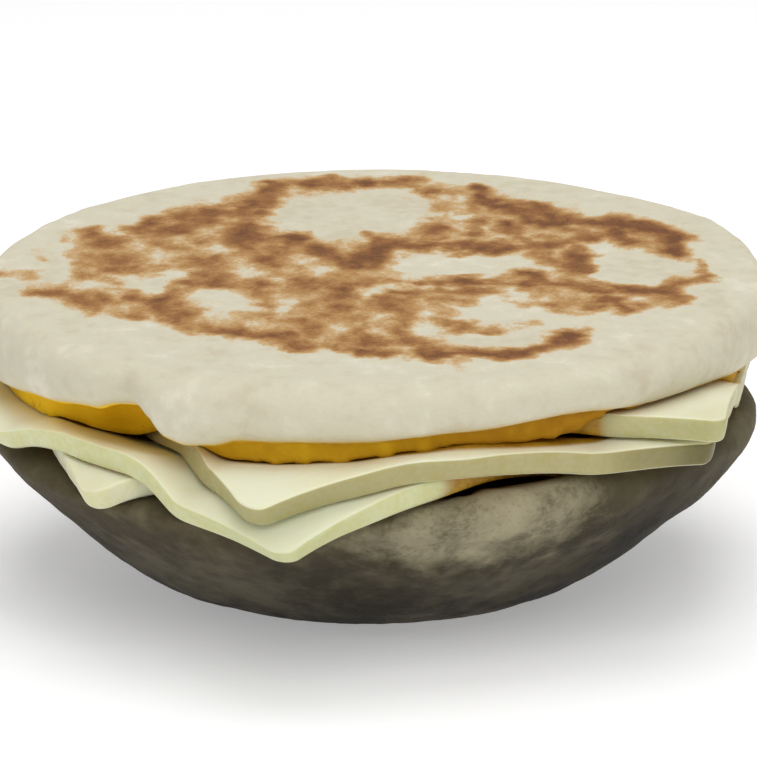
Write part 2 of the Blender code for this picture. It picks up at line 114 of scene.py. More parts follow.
def pointValues(piece, name, values):
    # one number for each vertex, which the materials read by name
    layer = piece.data.attributes.new(name, "FLOAT", "POINT")
    layer.data.foreach_set("value", np.asarray(values, dtype=np.float32).ravel())


def throughRings(rings, steps):
    # rows along a skin: a cubic through the rings whose tangents are the slopes between neighbours
    rings = np.asarray(rings)
    gap = np.linalg.norm(np.diff(rings, axis=0), axis=2).mean(axis=1)
    s = np.concatenate([[0.0], np.cumsum(np.maximum(gap, 1e-6))])
    slope = np.gradient(rings, s, axis=0)
    stretches = [np.linspace(s[k], s[k + 1], n, endpoint=False) for k, n in enumerate(steps)]
    at = np.concatenate(stretches + [[s[-1]]])
    k = np.clip(np.searchsorted(s, at, side="right") - 1, 0, len(s) - 2)
    h = (s[k + 1] - s[k])[:, None, None]
    u = ((at - s[k]) / (s[k + 1] - s[k]))[:, None, None]
    a = (1 + 2 * u) * (1 - u) ** 2
    b = u * (1 - u) ** 2
    return a * rings[k] + b * h * slope[k] + (1 - a) * rings[k + 1] + (u**3 - u**2) * h * slope[k + 1]


def straightRows(rings, steps):
    # rows along a skin: straight from each ring to the next
    stretches = [a + (b - a) * np.linspace(0.0, 1.0, n, endpoint=False)[:, None, None]
                 for a, b, n in zip(rings, rings[1:], steps)]
    return np.concatenate(stretches + [rings[-1][None]])


def stepsFor(rings, spacing):
    # how many rows each stretch between rings takes to keep about the given spacing
    gap = np.linalg.norm(np.diff(np.asarray(rings), axis=0), axis=2).mean(axis=1)
    return np.maximum(1, np.rint(gap / spacing)).astype(int)


def gridNormals(rows):
    # outward unit normals of a skin of rows closed round the axis
    down = np.gradient(rows, axis=0)
    side = np.roll(rows, -1, axis=1) - np.roll(rows, 1, axis=1)
    n = np.cross(side, down)
    n /= np.maximum(np.linalg.norm(n, axis=2, keepdims=True), 1e-9)
    return n


def turnedFaces(rowCount, columns, flip):
    # quads between rows, with a fan to a single point at each end
    i = np.arange(columns)
    j = (i + 1) % columns
    faces = [(0, int(1 + a), int(1 + b)) for a, b in zip(i, j)]
    low = 1 + np.arange(rowCount - 1)[:, None] * columns
    quads = np.stack([low + i, low + columns + i, low + columns + j, low + j], -1).reshape(-1, 4)
    faces += quads.tolist()
    last = 1 + (rowCount - 1) * columns
    faces += [(int(last + a), int(last + columns), int(last + b)) for a, b in zip(i, j)]
    return [f[::-1] for f in faces] if flip else faces


def turnedPiece(name, rows, flip, sharp=None):
    # rows whose first and last are poles, made one closed piece
    inner = rows[1:-1]
    verts = np.concatenate([rows[0, :1], inner.reshape(-1, 3), rows[-1, :1]])
    return meshPiece(name, verts, turnedFaces(len(inner), inner.shape[1], flip), sharp)


def overPoles(values):
    # a value for each row and column, cut down to one at each pole
    return np.concatenate([values[0, :1], values[1:-1].ravel(), values[-1, :1]])


def spotAt(azimuth, radius):
    # x and y of a place given by its azimuth and its distance from the axis
    a = np.radians(azimuth)
    return radius * np.sin(a), -radius * np.cos(a)


def ringAt(azimuth, radius, height):
    # points at an azimuth, distance from the axis and height each
    x, y = spotAt(azimuth, radius)
    return np.stack([x, y, np.broadcast_to(height, x.shape)], -1)


bread = {
    "radius": 50.0,
    "columns": 400,
    # size, count round the bread and phase of each wave, and the turn of its phase with height
    "outlineWaves": ((0.22, 2, 0.6), (0.13, 3, 2.0), (0.09, 5, 0.0)),
    "wallLumps": ((0.21, 4, 0.4, 0.16), (0.14, 7, 2.1, -0.2)),
}


def outlineWave(azimuth):
    # sum of a few sines of the azimuth
    a = np.radians(azimuth)
    return sum(size * np.sin(count * a + phase) for size, count, phase in bread["outlineWaves"])


def wallLump(azimuth, height):
    # the same for the walls, with phases that turn slowly with height
    a = np.radians(azimuth)
    lumps = bread["wallLumps"]
    return sum(size * np.sin(count * a + phase + up * height) for size, count, phase, up in lumps)


lowerBread = {
    "baseRadius": 22.5,
    "rimHeight": 24.5,
    "dishHeight": 19.2,
    "dishFlat": 35.0,
    "dishPower": 2.0,
    "crestRadius": 46.8,
    # stations round the bread: azimuth in degrees from the front towards +X, and the value there
    "rim": ((-180, 23.4), (-130, 23.4), (-90, 23.7), (-72, 23.4), (-58, 22.1), (-42, 21.2), (-25, 20.9),
            (-14, 21.1), (-2, 21.8), (8, 22.7), (19, 23.7), (32, 24.2), (50, 24.8), (75, 24.3), (120, 23.7)),
    "crestInset": ((-180, 0.3), (-100, 0.5), (-60, 1.4), (-15, 1.7), (8, 0.6), (30, 0.0), (120, 0.0)),
    # radius and height of each ring of the wall
    "wall": ((25.6, 0.45), (28.8, 1.5), (32.8, 4.0), (38.0, 8.0), (43.4, 13.0), (47.4, 17.6), (49.3, 20.3),
             (50.0, 22.0)),
    "spacing": 0.62,
    # relief: the size of its cells, and how deep it goes
    "folds": (13.0, 0.55),
    "grain": (1.5, 0.10),
    "pits": (2.6, 0.55),
    "crumbWaves": (6.0, 0.25),
    # how pale the wall is painted round the bread, a lit patch of painted light, and how much darker it is
    # painted round the right, as painted shade under the cheese
    "litPatch": ((-180, 0.3), (-130, 0.1), (-70, 0.0), (-40, 0.05), (-12, 0.12), (-1, 0.3), (9, 0.75),
              (20, 1.05), (28, 0.75), (37, 0.3), (46, 0.0), (70, 0.0), (120, 0.2)),
    "shadeUnderCheese": ((-180, 0.0), (27, 0.0), (37, 0.45), (46, 1.0), (54, 1.0), (62, 0.6), (70, 0.0)),
    "trim": 0.9975,  # keeps the skin inside the solid it stands for
}


def liftByRim(height, azimuth):
    # a wall height carried up or down with the rim, less so nearer the base
    rim = aroundRing(azimuth, lowerBread["rim"])
    top = lowerBread["rimHeight"]
    return height * (1.0 + (rim / top - 1.0) * (height / top) ** 1.5)


def cutFace(radius, azimuth):
    # dish height: flat, then a power rise to the rim's crest, then a quarter ellipse down to the widest place
    rim = aroundRing(azimuth, lowerBread["rim"])
    crest = lowerBread["crestRadius"] - aroundRing(azimuth, lowerBread["crestInset"])
    widest = liftByRim(lowerBread["wall"][-1][1], azimuth)
    edge = bread["radius"] + outlineWave(azimuth)
    flat, low = lowerBread["dishFlat"], lowerBread["dishHeight"]
    rise = np.clip((radius - flat) / (crest - flat), 0.0, 1.0) ** lowerBread["dishPower"]
    past = np.clip((radius - crest) / (edge - crest), 0.0, 1.0)
    return low + (rim - low) * rise - (rim - widest) * (1.0 - np.sqrt(1.0 - past * past))


def lowerRings(azimuth):
    # base, wall, rim and cut face as rings round the axis
    rings = [ringAt(azimuth, 0.0, 0.0), ringAt(azimuth, lowerBread["baseRadius"] * 0.5, 0.0)]
    rings.append(ringAt(azimuth, lowerBread["baseRadius"], 0.0))
    for radius, height in lowerBread["wall"]:
        fade = 1.0 - smoothStep((height - 16.0) / 5.0)
        soft = smoothStep(height / 4.0) * fade if radius < bread["radius"] else 0.0
        wave = outlineWave(azimuth) * radius / bread["radius"]
        out = radius + wave + wallLump(azimuth, height) * soft
        rings.append(ringAt(azimuth, out, liftByRim(height, azimuth)))
    crest = lowerBread["crestRadius"] - aroundRing(azimuth, lowerBread["crestInset"])
    edge = bread["radius"] + outlineWave(azimuth)
    for share in (0.96, 0.88, 0.76, 0.62, 0.46, 0.3, 0.14, 0.0):
        radius = crest + (edge - crest) * share
        rings.append(ringAt(azimuth, radius, cutFace(radius, azimuth)))
    for share in (0.95, 0.88, 0.79, 0.68, 0.5, 0.25, 0.0):
        radius = crest * share
        rings.append(ringAt(azimuth, radius, cutFace(radius, azimuth)))
    return rings


def buildLowerBread():
    # the rings' skin, moved along its normals: folds and grain on the wall, crumb on the cut face
    azimuth = np.linspace(-180.0, 180.0, bread["columns"], endpoint=False)
    rings = lowerRings(azimuth)
    rows = throughRings(rings, stepsFor(rings, lowerBread["spacing"]))
    rows[..., 2] = np.maximum(rows[..., 2], 0.0)
    radius = np.hypot(rows[..., 0], rows[..., 1])
    turn = azimuthOf(rows[..., 0], rows[..., 1])
    normal = gridNormals(rows)
    crest = lowerBread["crestRadius"] - aroundRing(turn, lowerBread["crestInset"])
    onCut = (normal[..., 2] > 0.2) & (radius < crest + 1.5)
    cut = np.where(onCut, smoothStep((crest + 1.5 - radius) / 2.5), 0.0)
    flatSpot = smoothStep((lowerBread["baseRadius"] + 3.0 - radius) / 4.0) * (rows[..., 2] < 1.0)
    # wall: folds left where the dough sagged as it baked, flatter than wide and pressed inwards only
    cell, depth = lowerBread["folds"]
    wall = (np.clip(layeredNoise(rows * [1.0, 1.0, 2.2], cell, 11, 2), -1.0, 0.3) - 0.3) * depth
    cell, depth = lowerBread["grain"]
    wall = wall + (layeredNoise(rows, cell, 21, 3) - 0.6) * depth
    # cut face: open crumb, with pits of several sizes
    cell, depth = lowerBread["pits"]
    crumb = -np.clip(layeredNoise(rows, cell, 31, 3) * 2.2, 0.0, 1.0) ** 1.5 * depth
    cell, depth = lowerBread["crumbWaves"]
    crumb = crumb + layeredNoise(rows, cell, 41, 2) * depth - 0.3
    shift = (wall * (1.0 - cut) + crumb * cut) * (1.0 - flatSpot)
    for end in (0, -1):
        shift[end] = shift[end].mean()
    rows = rows + normal * shift[..., None]
    rows[..., :2] *= lowerBread["trim"]
    piece = turnedPiece("lowerBread", rows, True)
    pointValues(piece, "crumb", overPoles(cut))
    pointValues(piece, "litPatch", overPoles(aroundRing(turn, lowerBread["litPatch"])))
    pointValues(piece, "shadeUnderCheese", overPoles(aroundRing(turn, lowerBread["shadeUnderCheese"])))
    return piece


upperBread = {
    "topHeight": 40.0,
    "tilt": 4.3,
    "roll": 0.5,
    "topFlat": ((-180, 46.3), (-115, 46.9), (-90, 47.0), (0, 42.6), (88, 48.2), (112, 48.8), (142, 46.2)),
    "spread": ((-180, 0.0), (-105, 0.9), (-60, 0.2), (0, -0.15), (60, 0.3), (106, 2.2), (150, 0.3)),
    "shoulderFullness": 2.3,
    "widestAboveLip": 2.6,
    "lipInset": 1.6,
    "lipRise": 0.25,
    "lip": ((-180, 29.0), (-120, 28.8), (-90, 29.0), (-68, 29.2), (-54, 30.1), (-42, 30.9), (-38, 31.8),
            (-35, 31.9), (-32, 30.6), (-29, 29.0), (-26, 28.5), (-22, 28.8), (-18, 29.6), (-3, 29.8),
            (13, 30.7), (29, 31.7), (41, 31.3), (55, 30.9), (75, 30.6), (100, 30.0), (140, 29.2)),
    # radius of the crumb that stands out under the lip and lies on the cheese
    "crumbEdge": ((-180, 46.6), (-70, 46.8), (-58, 46.4), (-51, 44.0), (-46, 40.5), (-36, 40.0), (-31, 43.0),
                  (-26, 46.6), (-15, 47.4), (60, 47.2)),
    "crumbSlant": 0.3,
    "crumbDepth": ((-180, 2.6), (-72, 2.6), (-58, 3.2), (-46, 5.4), (-34, 5.4), (-26, 3.2), (-16, 2.6)),
    "crumbMiddle": 28.6,
    "crumbSag": 0.3,
    "crumbRounds": 24,
    "crumbSteps": (0.97, 0.94, 0.9, 0.86, 0.79, 0.72, 0.61, 0.5, 0.37, 0.25, 0.12),
    "crumbSpacing": 0.42,
    # how golden the crumb is painted round the bread, as the shade in the gap under the lip, and how far up
    # the lip is toasted
    "gapShadeGold": ((-180, 0.4), (-75, 0.7), (-60, 1.1), (-38, 1.1), (-26, 0.45), (-12, 0.4), (2, 0.3),
               (20, 0.1), (34, 0.1), (80, 0.3)),
    "lipBand": ((-180, 1.3), (-110, 2.2), (-92, 3.8), (-80, 3.2), (-66, 1.8), (-56, 1.3)),
    "turn": 40.0,  # the outline's waves start elsewhere than the lower half's
    "trim": 0.994,
    "topClear": 0.06,  # how far the browned face stays under the solid's
    # crease over the notch in the lip, and the bulge beside it: azimuth, depth, half width in degrees
    "fold": (-35.0, 1.1, 6.0),
    "bulge": (-25.0, 0.7, 11.0),
    "spacing": 0.55,
    # relief: the size of its cells, and how deep it goes
    "grain": (1.3, 0.07),
    "dimples": (7.5, 0.38),
    "pits": (2.4, 0.6),
    "crackle": 0.05,
    "paleDepth": 0.10,
    # pale places that lie lower: middle and half sizes
    "islandDepth": 0.3,
    "islands": ((-4, 22, 13, 6), (32, -2, 9, 6), (10, 3, 11, 3.5), (-15, -13, 10, 4.5),
                (24, -20, 11, 4.5), (-33, 2, 6, 4)),
    # browning: how the strokes fade, the noise that bends them (its cell, reach in x and in y), the sizes
    # of streaks and patches, and how much hotter the griddle was for each millimetre towards +X
    "strokeFade": (0.78, 2.1),
    "warps": ((4.5, 2.0, 2.4), (1.5, 0.9, 1.3)),
    "streakCell": 2.6,
    "patchCell": 8.0,
    "hotterAcross": 0.006,
    # browned strokes of the griddle: from x, y to x, y, half width, strength
    "browned": (
        (-13, 40, 5, 40.5, 2.6, 1.0), (5, 41, 8, 35, 1.6, 0.85), (-12, 40, -14, 32, 2.8, 1.0),
        (-14, 33, -19, 26, 3.0, 0.9), (-16, 26, -17, 12, 2.2, 0.95), (-20, 27, -25, 19, 3.0, 0.85),
        (-25, 25, -31, 19, 2.6, 0.9), (-28, 18, -27, 12, 2.0, 0.75), (-37, 18, -35, 11, 2.2, 0.8),
        (-34, 12, -32, 0, 2.6, 0.85), (-35, -3, -32, -6, 1.6, 0.45), (-26, 10, -20, 4, 1.9, 0.6),
        (-21, 3, -21, -7, 1.8, 0.55), (-21, 14, -22, 6, 1.6, 0.55), (-14, 8, -12, 2, 2.2, 0.6),
        (-10, 15, -8, 8, 1.9, 0.95), (-8, 7, -2, 2, 2.2, 0.85), (1, 12, -1, 2, 2.2, 0.95),
        (1, 10, 9, 9, 2.2, 0.9), (8, 9, 15, 7, 2.4, 0.95), (15, 8, 25, 11, 2.0, 0.75),
        (15, 37, 17, 27, 1.9, 0.95), (18, 28, 22, 21, 2.4, 0.9), (22, 29, 25, 22, 2.0, 0.8),
        (24, 20, 32, 19, 2.6, 0.95), (31, 20, 37, 17, 2.6, 0.95), (36, 18, 41, 12, 2.2, 0.9),
        (40, 12, 39, 5, 1.8, 0.95), (32, 15, 34, 10, 1.9, 0.9), (28, 16, 29, 11, 1.7, 0.6),
        (10, 23, 9, 13, 1.3, 0.55), (14, 21, 13, 13, 1.4, 0.6), (18, 19, 20, 12, 1.7, 0.75),
        (26, 8, 27, -1, 1.6, 0.75), (21, 6, 23, 1, 1.3, 0.4), (-23, -7, -10, -8, 1.6, 0.5),
        (-10, -7, 0, -8, 1.7, 0.55), (1, -7, 13, -7, 1.8, 0.75), (13, -7, 30, -10, 1.3, 0.65),
        (20, -4, 20, -8, 1.6, 0.95), (28, -10, 37, -12, 1.7, 0.85), (37, -12, 42, -7, 1.3, 0.6),
        (42, -6, 43, 1, 0.9, 0.4), (-48.5, -1, -44, -1, 1.8, 1.0), (-44, -2, -41, -8, 1.6, 0.9),
        (-42, -8, -36, -11, 2.1, 0.9), (-37, -12, -33, -17, 2.5, 0.9), (-32, -13, -26, -14, 2.9, 0.95),
        (-27, -12, -24, -19, 2.5, 0.9), (-24, -19, -20, -26, 1.9, 0.8), (3, -11, 14, -11.5, 1.4, 0.7),
        (-3, -30, 6, -31, 2.5, 0.75), (-33, -18, -29, -20, 1.5, 0.7), (-13, -11, -12, -16, 1.7, 0.6),
        (-4, -10, -3, -17, 2.3, 0.65), (1, -13, 2, -18, 1.9, 0.55), (6, -12, 12, -15, 1.7, 0.6),
        (9, -17, 10, -21, 1.4, 0.4), (-20, -26, -12, -29, 1.6, 0.85), (-12, -29, -7, -31, 1.6, 0.75),
        (-8, -32, 0, -34, 2.0, 0.95), (0, -35, 8, -36, 1.8, 0.85), (8, -36, 18, -36, 1.7, 0.9),
        (18, -36, 24, -31, 1.7, 0.9), (24, -31, 25, -28, 1.7, 0.95), (-9, -23, -7, -28, 1.8, 0.65),
        (-2, -22, -1, -30, 1.8, 0.5), (3, -22, 4, -28, 2.0, 0.85), (9, -23, 12, -26, 1.6, 0.6),
        (10, -38, 11, -43, 1.0, 0.35), (30, -14, 31, -20, 1.5, 0.85), (38, -12, 38, -17, 1.6, 0.65),
        (33, -17, 27, -18, 1.3, 0.5), (20, -17, 25, -20, 1.3, 0.35), (-43, 11, -43, 6, 1.3, 0.35),
        (-40, 17, -41, 12, 1.4, 0.35), (-6, -20, -12, -21, 1.4, 0.35), (14, -27, 20, -25, 1.2, 0.3),
    ),
    # places that stay pale inside the browned field: middle, half sizes, how pale
    "spared": (
        (-3, 24, 9.5, 11, 1.0), (12, 1, 8.5, 4, 0.9), (33, -1, 5.5, 6.5, 1.0), (-15, -15, 6, 4, 0.6),
        (22, -24, 8, 5, 0.8), (16, -31, 6, 3, 0.8), (-29, -5, 6, 3.5, 0.6), (15, -17, 5, 3, 0.5),
        (-44, 0, 4, 9, 0.8), (28, 31, 4, 5, 0.5),
    ),
    # how far from the axis the thin cast of the browning goes
    "castReach": (
        (-180, 43), (-140, 40), (-110, 41), (-80, 42), (-60, 38), (-40, 34), (-20, 35), (0, 37), (30, 38),
        (50, 38), (70, 42), (90, 43), (110, 43), (130, 42), (150, 39), (165, 42),
    ),
}


def topPlane(x, y):
    # a plane through the middle of the top, leaning forwards and a little to the left
    slopeY, slopeX = (math.tan(math.radians(upperBread[key])) for key in ("tilt", "roll"))
    return upperBread["topHeight"] + slopeY * y + slopeX * x


def topRelief(x, y):
    # pale places lie lower than the browned face: 1 inside each ellipse, easing to 0 at 1.6 times its size
    sink = np.zeros_like(x)
    for cx, cy, halfX, halfY in upperBread["islands"]:
        sink = np.maximum(sink, smoothStep(1.6 - np.hypot((x - cx) / halfX, (y - cy) / halfY)))
    return -upperBread["islandDepth"] * sink


def brownedField(x, y):
    # strokes that fade from their middle lines as exp(-a d^b), on a plan warped by noise, over a thin uneven
    # cast that the spared places and the rim lack
    points = np.stack([x, y, np.zeros_like(x)], -1)
    (wide, wideX, wideY), (fine, fineX, fineY) = upperBread["warps"]
    wx = x + layeredNoise(points, wide, 51, 3) * wideX + layeredNoise(points, fine, 55, 2) * fineX
    wy = y + layeredNoise(points, wide, 61, 3) * wideY + layeredNoise(points, fine, 69, 2) * fineY
    fade, power = upperBread["strokeFade"]
    strokes = np.zeros_like(x)
    for x0, y0, x1, y1, half, strength in upperBread["browned"]:
        dx, dy = x1 - x0, y1 - y0
        along = np.clip(((wx - x0) * dx + (wy - y0) * dy) / (dx * dx + dy * dy), 0.0, 1.0)
        away = np.hypot(wx - x0 - along * dx, wy - y0 - along * dy) / half
        strokes = np.maximum(strokes, strength * np.exp(-fade * away**power))
    cast = smoothStep((aroundRing(azimuthOf(x, y), upperBread["castReach"]) - np.hypot(wx, wy)) / 5.0 + 0.3)
    for cx, cy, halfX, halfY, paleness in upperBread["spared"]:
        away = np.hypot((wx - cx) / halfX, (wy - cy) / halfY)
        cast = cast * (1.0 - paleness * smoothStep((1.35 - away) / 0.6))
    streaked = layeredNoise(points * [1.0, 0.55, 1.0], upperBread["streakCell"], 65, 3)
    patchy = layeredNoise(points, upperBread["patchCell"], 67, 2)
    thin = cast * np.clip(0.27 + 0.55 * streaked + 0.25 * patchy, 0.0, 1.0)
    heat = upperBread["hotterAcross"] * x
    full = strokes * np.clip(0.86 + 0.62 * streaked + 0.2 * patchy + heat, 0.0, 1.15)
    return np.clip(full + thin * (1.0 - full), 0.0, 1.0)


def upperRings(azimuth, clear, bed):
    # top and shoulder down to the lip, and the underside from the lip in to the middle, as two lists of
    # rings: the underside steps down at the crumb's edge, and lies on the bed or on a cone above it
    foldAt, foldDepth, foldWidth = upperBread["fold"]
    bulgeAt, bulgeDepth, bulgeWidth = upperBread["bulge"]
    turned = azimuth + upperBread["turn"]
    edge = bread["radius"] + aroundRing(azimuth, upperBread["spread"]) + outlineWave(turned)
    edge = edge - foldDepth * angleBump(azimuth, foldAt, foldWidth)
    edge = edge + bulgeDepth * angleBump(azimuth, bulgeAt, bulgeWidth)
    inset, rise = upperBread["lipInset"], upperBread["widestAboveLip"]
    lipRadius = edge - inset
    lip = np.maximum(aroundRing(azimuth, upperBread["lip"]), sample(clear, *spotAt(azimuth, lipRadius)))
    flat = aroundRing(azimuth, upperBread["topFlat"])
    outside = [ringAt(azimuth, 0.0, upperBread["topHeight"])]
    for share in (0.1, 0.2, 0.3, 0.4, 0.5, 0.6, 0.68, 0.76, 0.83, 0.9, 0.96, 1.0):
        outside.append(ringAt(azimuth, flat * share, topPlane(*spotAt(azimuth, flat * share))))
    start = topPlane(*spotAt(azimuth, flat))
    widest = lip + rise
    for turn in (0.1, 0.2, 0.31, 0.42, 0.53, 0.64, 0.74, 0.84, 0.92, 1.0):
        c = math.cos(turn * math.pi / 2.0) ** (2.0 / upperBread["shoulderFullness"])
        s = math.sin(turn * math.pi / 2.0) ** (2.0 / upperBread["shoulderFullness"])
        height = widest + (start - widest) * c
        swell = wallLump(turned, height) * 0.5 * math.sin(turn * math.pi)
        outside.append(ringAt(azimuth, flat + (edge - flat) * s + swell, height))
    outside.append(ringAt(azimuth, edge - inset * 0.35, lip + rise * 0.4))
    outside.append(ringAt(azimuth, lipRadius + 0.2, lip + 0.3))
    outside.append(ringAt(azimuth, lipRadius, lip + 0.04))
    crumb = aroundRing(azimuth, upperBread["crumbEdge"])
    depth = aroundRing(azimuth, upperBread["crumbDepth"])
    inside = [outside[-1], ringAt(azimuth, lipRadius - 0.3, lip)]
    inside.append(ringAt(azimuth, crumb + upperBread["crumbSlant"], lip + upperBread["lipRise"]))
    for share in (1.0,) + upperBread["crumbSteps"] + (0.0,):
        radius = crumb * share
        lowest = upperBread["crumbMiddle"] * (1.0 - share) + (lip - depth) * share
        over = np.maximum(lowest, sample(bed, *spotAt(azimuth, radius)))
        inside.append(ringAt(azimuth, radius, over if share else over.max()))
    return outside, inside


def buildUpperBread(support):
    # both skins as one closed piece, moved along its normals: relief of the top and wall, pits in the crumb
    azimuth = np.linspace(-180.0, 180.0, bread["columns"], endpoint=False)
    clear = drape(support, slices["stiffSag"])
    bed = softenSheet(spreadSheet(support, upperBread["crumbSag"]), support, upperBread["crumbRounds"])
    bed = overGap(bed, slices["gap"] * 0.6)
    outside, inside = upperRings(azimuth, clear, bed)
    skin = throughRings(outside, stepsFor(outside, upperBread["spacing"]))
    under = straightRows(inside, stepsFor(inside, upperBread["crumbSpacing"]))
    over = sample(bed, under[..., 0], under[..., 1])
    under[1:, :, 2] = np.maximum(under[1:, :, 2], over[1:])
    rows = np.concatenate([skin, under[1:]])
    normal = gridNormals(rows)
    x, y = rows[..., 0], rows[..., 1]
    browned = brownedField(x, y)
    flat = aroundRing(azimuthOf(x, y), upperBread["topFlat"])
    onSkin = (np.arange(len(rows)) < len(skin) - 1)[:, None] & np.ones(x.shape, bool)
    top = np.where(onSkin, smoothStep((flat + 1.0 - np.hypot(x, y)) / 3.0), 0.0)
    browned = browned * np.where(onSkin, smoothStep((flat + 3.2 - np.hypot(x, y)) / 3.0), 0.0)
    # top: pale places sunk, browned ones flat and slightly cracked; wall: soft dimples; all inwards only
    level = topRelief(x, y) * top - upperBread["paleDepth"] * (1.0 - browned) * top
    cell, depth = upperBread["grain"]
    grain = (layeredNoise(rows, cell, 71, 3) - 0.7) * (depth + upperBread["crackle"] * browned * top)
    cell, depth = upperBread["dimples"]
    wall = (np.clip(layeredNoise(rows, cell, 81, 2), -1.0, 0.2) - 0.2) * depth * (1.0 - top)
    cell, depth = upperBread["pits"]
    crumb = -np.clip(layeredNoise(rows, cell, 91, 3) * 2.4, 0.0, 1.0) ** 1.5 * depth
    shift = np.where(onSkin, level + grain + wall, crumb)
    lipFade = np.abs(np.arange(len(rows)) - (len(skin) - 1))[:, None]
    shift = shift * smoothStep(lipFade / 3.0 + 0.25)
    for end in (0, -1):
        shift[end] = shift[end].mean()
    rows = rows + normal * shift[..., None]
    rows[..., :2] *= upperBread["trim"]
    rows[..., 2] = np.minimum(rows[..., 2], topPlane(rows[..., 0], rows[..., 1]) - upperBread["topClear"])
    piece = turnedPiece("upperBread", rows, False)
    pointValues(piece, "browned", overPoles(browned))
    pointValues(piece, "crumb", overPoles(np.where(onSkin, 0.0, 1.0)))
    pointValues(piece, "gapShadeGold", overPoles(aroundRing(azimuthOf(x, y), upperBread["gapShadeGold"])))
    aboveLip = np.linalg.norm(rows - rows[len(skin) - 1], axis=2)
    band = aroundRing(azimuthOf(x, y), upperBread["lipBand"])
    pointValues(piece, "lip", overPoles(smoothStep(1.0 - aboveLip / band)))
    return piece


slices = {
    "edgeThickness": 2.85,
    "pressedThickness": 1.9,
    "pressedWidth": 6.0,
    "gap": 0.36,
    "edgeBulge": 0.3,
    "edgeInset": 0.12,
    # radius within which the cheese is painted golden as the shade under the bread's lip, and the width of
    # the change
    "shadeGoldEdge": ((-180, 46.5), (-110, 46.3), (-88, 45.8), (-72, 46.0), (-57, 46.4), (-52, 45.5),
                 (-49, 41.0), (-46, 37.5), (-38, 37.5), (-30, 42.0), (-24, 47.2), (-17, 48.4), (0, 48.5),
                 (10, 49.4), (26, 49.2), (34, 48.2), (40, 47.4), (70, 46.5)),
    "shadeGoldWidth": 2.2,
    # how deeply the cut edge is painted in shadow round the sandwich, at the right end under the slice above
    "cutShadow": ((-180, 0.0), (30, 0.0), (40, 0.5), (46, 1.0), (74, 1.0), (95, 0.0)),
    # past this radius the cheese is painted a little darker, more over the given width: painted shade of the
    # ends that hang down
    "hangShadeFrom": 47.0,
    "hangShadeWidth": 8.0,
    # sag of a stiff sheet in 1/mm, and how far the cheese follows its own softer sag round the sandwich
    "stiffSag": 0.018,
    "sag": ((-180, 0.5), (-120, 0.4), (-84, 0.1), (-70, 0.3), (-54, 1.0), (-4, 1.0), (7, 0.7), (18, 0.2),
            (30, 0.0), (70, 0.0), (110, 0.35)),
    "hangStart": 46.5,
    "hangShortening": 0.30,
    "cells": 128,
    "edgeCrowding": 0.45,
    "uneven": (9.0, 0.06),
    "ragged": (2.2, 0.35),
    # the plan grid on which the layers are draped, and how far a support reaches over it
    "gridReach": 64.0,
    "gridStep": 0.5,
    "spanReach": 14.0,
    "softRounds": 30,
    "normalRounds": 16,
    "lowest": {"corners": ((-34.0, -44.0), (22.0, -26.0), (25.0, 39.5), (-47.0, 16.0)),
               "rounding": 3.5, "frontBow": -2.5, "leftBow": 0.5, "sag": 0.11, "free": 49.5, "seed": 3},
    "lower": {"corners": ((-10.1, -58.0), (27.0, -30.0), (4.0, 48.5), (-55.5, -9.5)),
              "rounding": 2.4, "frontBow": 3.0, "leftBow": 3.2, "sag": 0.13, "free": 50.5, "seed": 5},
    "upper": {"corners": ((-14.5, -58.5), (41.5, -36.5), (15.0, 43.5), (-42.0, 23.0)),
              "rounding": 4.0, "frontBow": 0.0, "leftBow": 1.4, "sag": 0.25, "free": 46.0, "seed": 7},
    "top": {"corners": ((-21.0, -27.5), (41.3, -39.5), (51.5, 20.0), (-19.5, 33.0)),
            "rounding": 1.6, "frontBow": 2.0, "leftBow": 0.0, "sag": 0.1, "free": 46.5, "seed": 9},
}
nothing = -1000.0  # height where there is no support


def planGrid():
    # x and y of every point of the square grid
    line = np.arange(-slices["gridReach"], slices["gridReach"] + slices["gridStep"] * 0.5, slices["gridStep"])
    return np.meshgrid(line, line, indexing="ij")


def sample(field, x, y):
    # a grid's value between its points: cubic B-spline weights of the sixteen nearest
    n = field.shape[0]
    i = np.clip((x + slices["gridReach"]) / slices["gridStep"], 1.0, n - 3.001)
    j = np.clip((y + slices["gridReach"]) / slices["gridStep"], 1.0, n - 3.001)
    i0, j0 = i.astype(int), j.astype(int)

    def weights(t):
        inner = (3 * t**3 - 6 * t**2 + 4) / 6
        outer = (-3 * t**3 + 3 * t**2 + 3 * t + 1) / 6
        return (1 - t) ** 3 / 6, inner, outer, t**3 / 6

    wi, wj = weights(i - i0), weights(j - j0)
    return sum(wi[a] * wj[b] * field[i0 + a - 1, j0 + b - 1] for a in range(4) for b in range(4))


def spreadSheet(field, sag):
    # the lowest sheet over a field whose every support it leaves along a parabola of the given sag
    out = field.copy()
    for axis in (0, 1):
        base = out.copy()
        for step in range(1, int(slices["spanReach"] / slices["gridStep"]) + 1):
            fall = sag * (step * slices["gridStep"]) ** 2
            ahead, behind = [slice(None), slice(None)], [slice(None), slice(None)]
            ahead[axis], behind[axis] = slice(step, None), slice(None, -step)
            out[tuple(ahead)] = np.maximum(out[tuple(ahead)], base[tuple(behind)] - fall)
            out[tuple(behind)] = np.maximum(out[tuple(behind)], base[tuple(ahead)] - fall)
    return out


def softenSheet(field, floor, rounds):
    # averages each point with its four neighbours, never below the floor
    out = field.copy()
    for _ in range(rounds):
        beside = out[2:, 1:-1] + out[:-2, 1:-1] + out[1:-1, 2:] + out[1:-1, :-2]
        out[1:-1, 1:-1] = np.maximum(out[1:-1, 1:-1] * 0.5 + beside * 0.125, floor[1:-1, 1:-1])
    return out


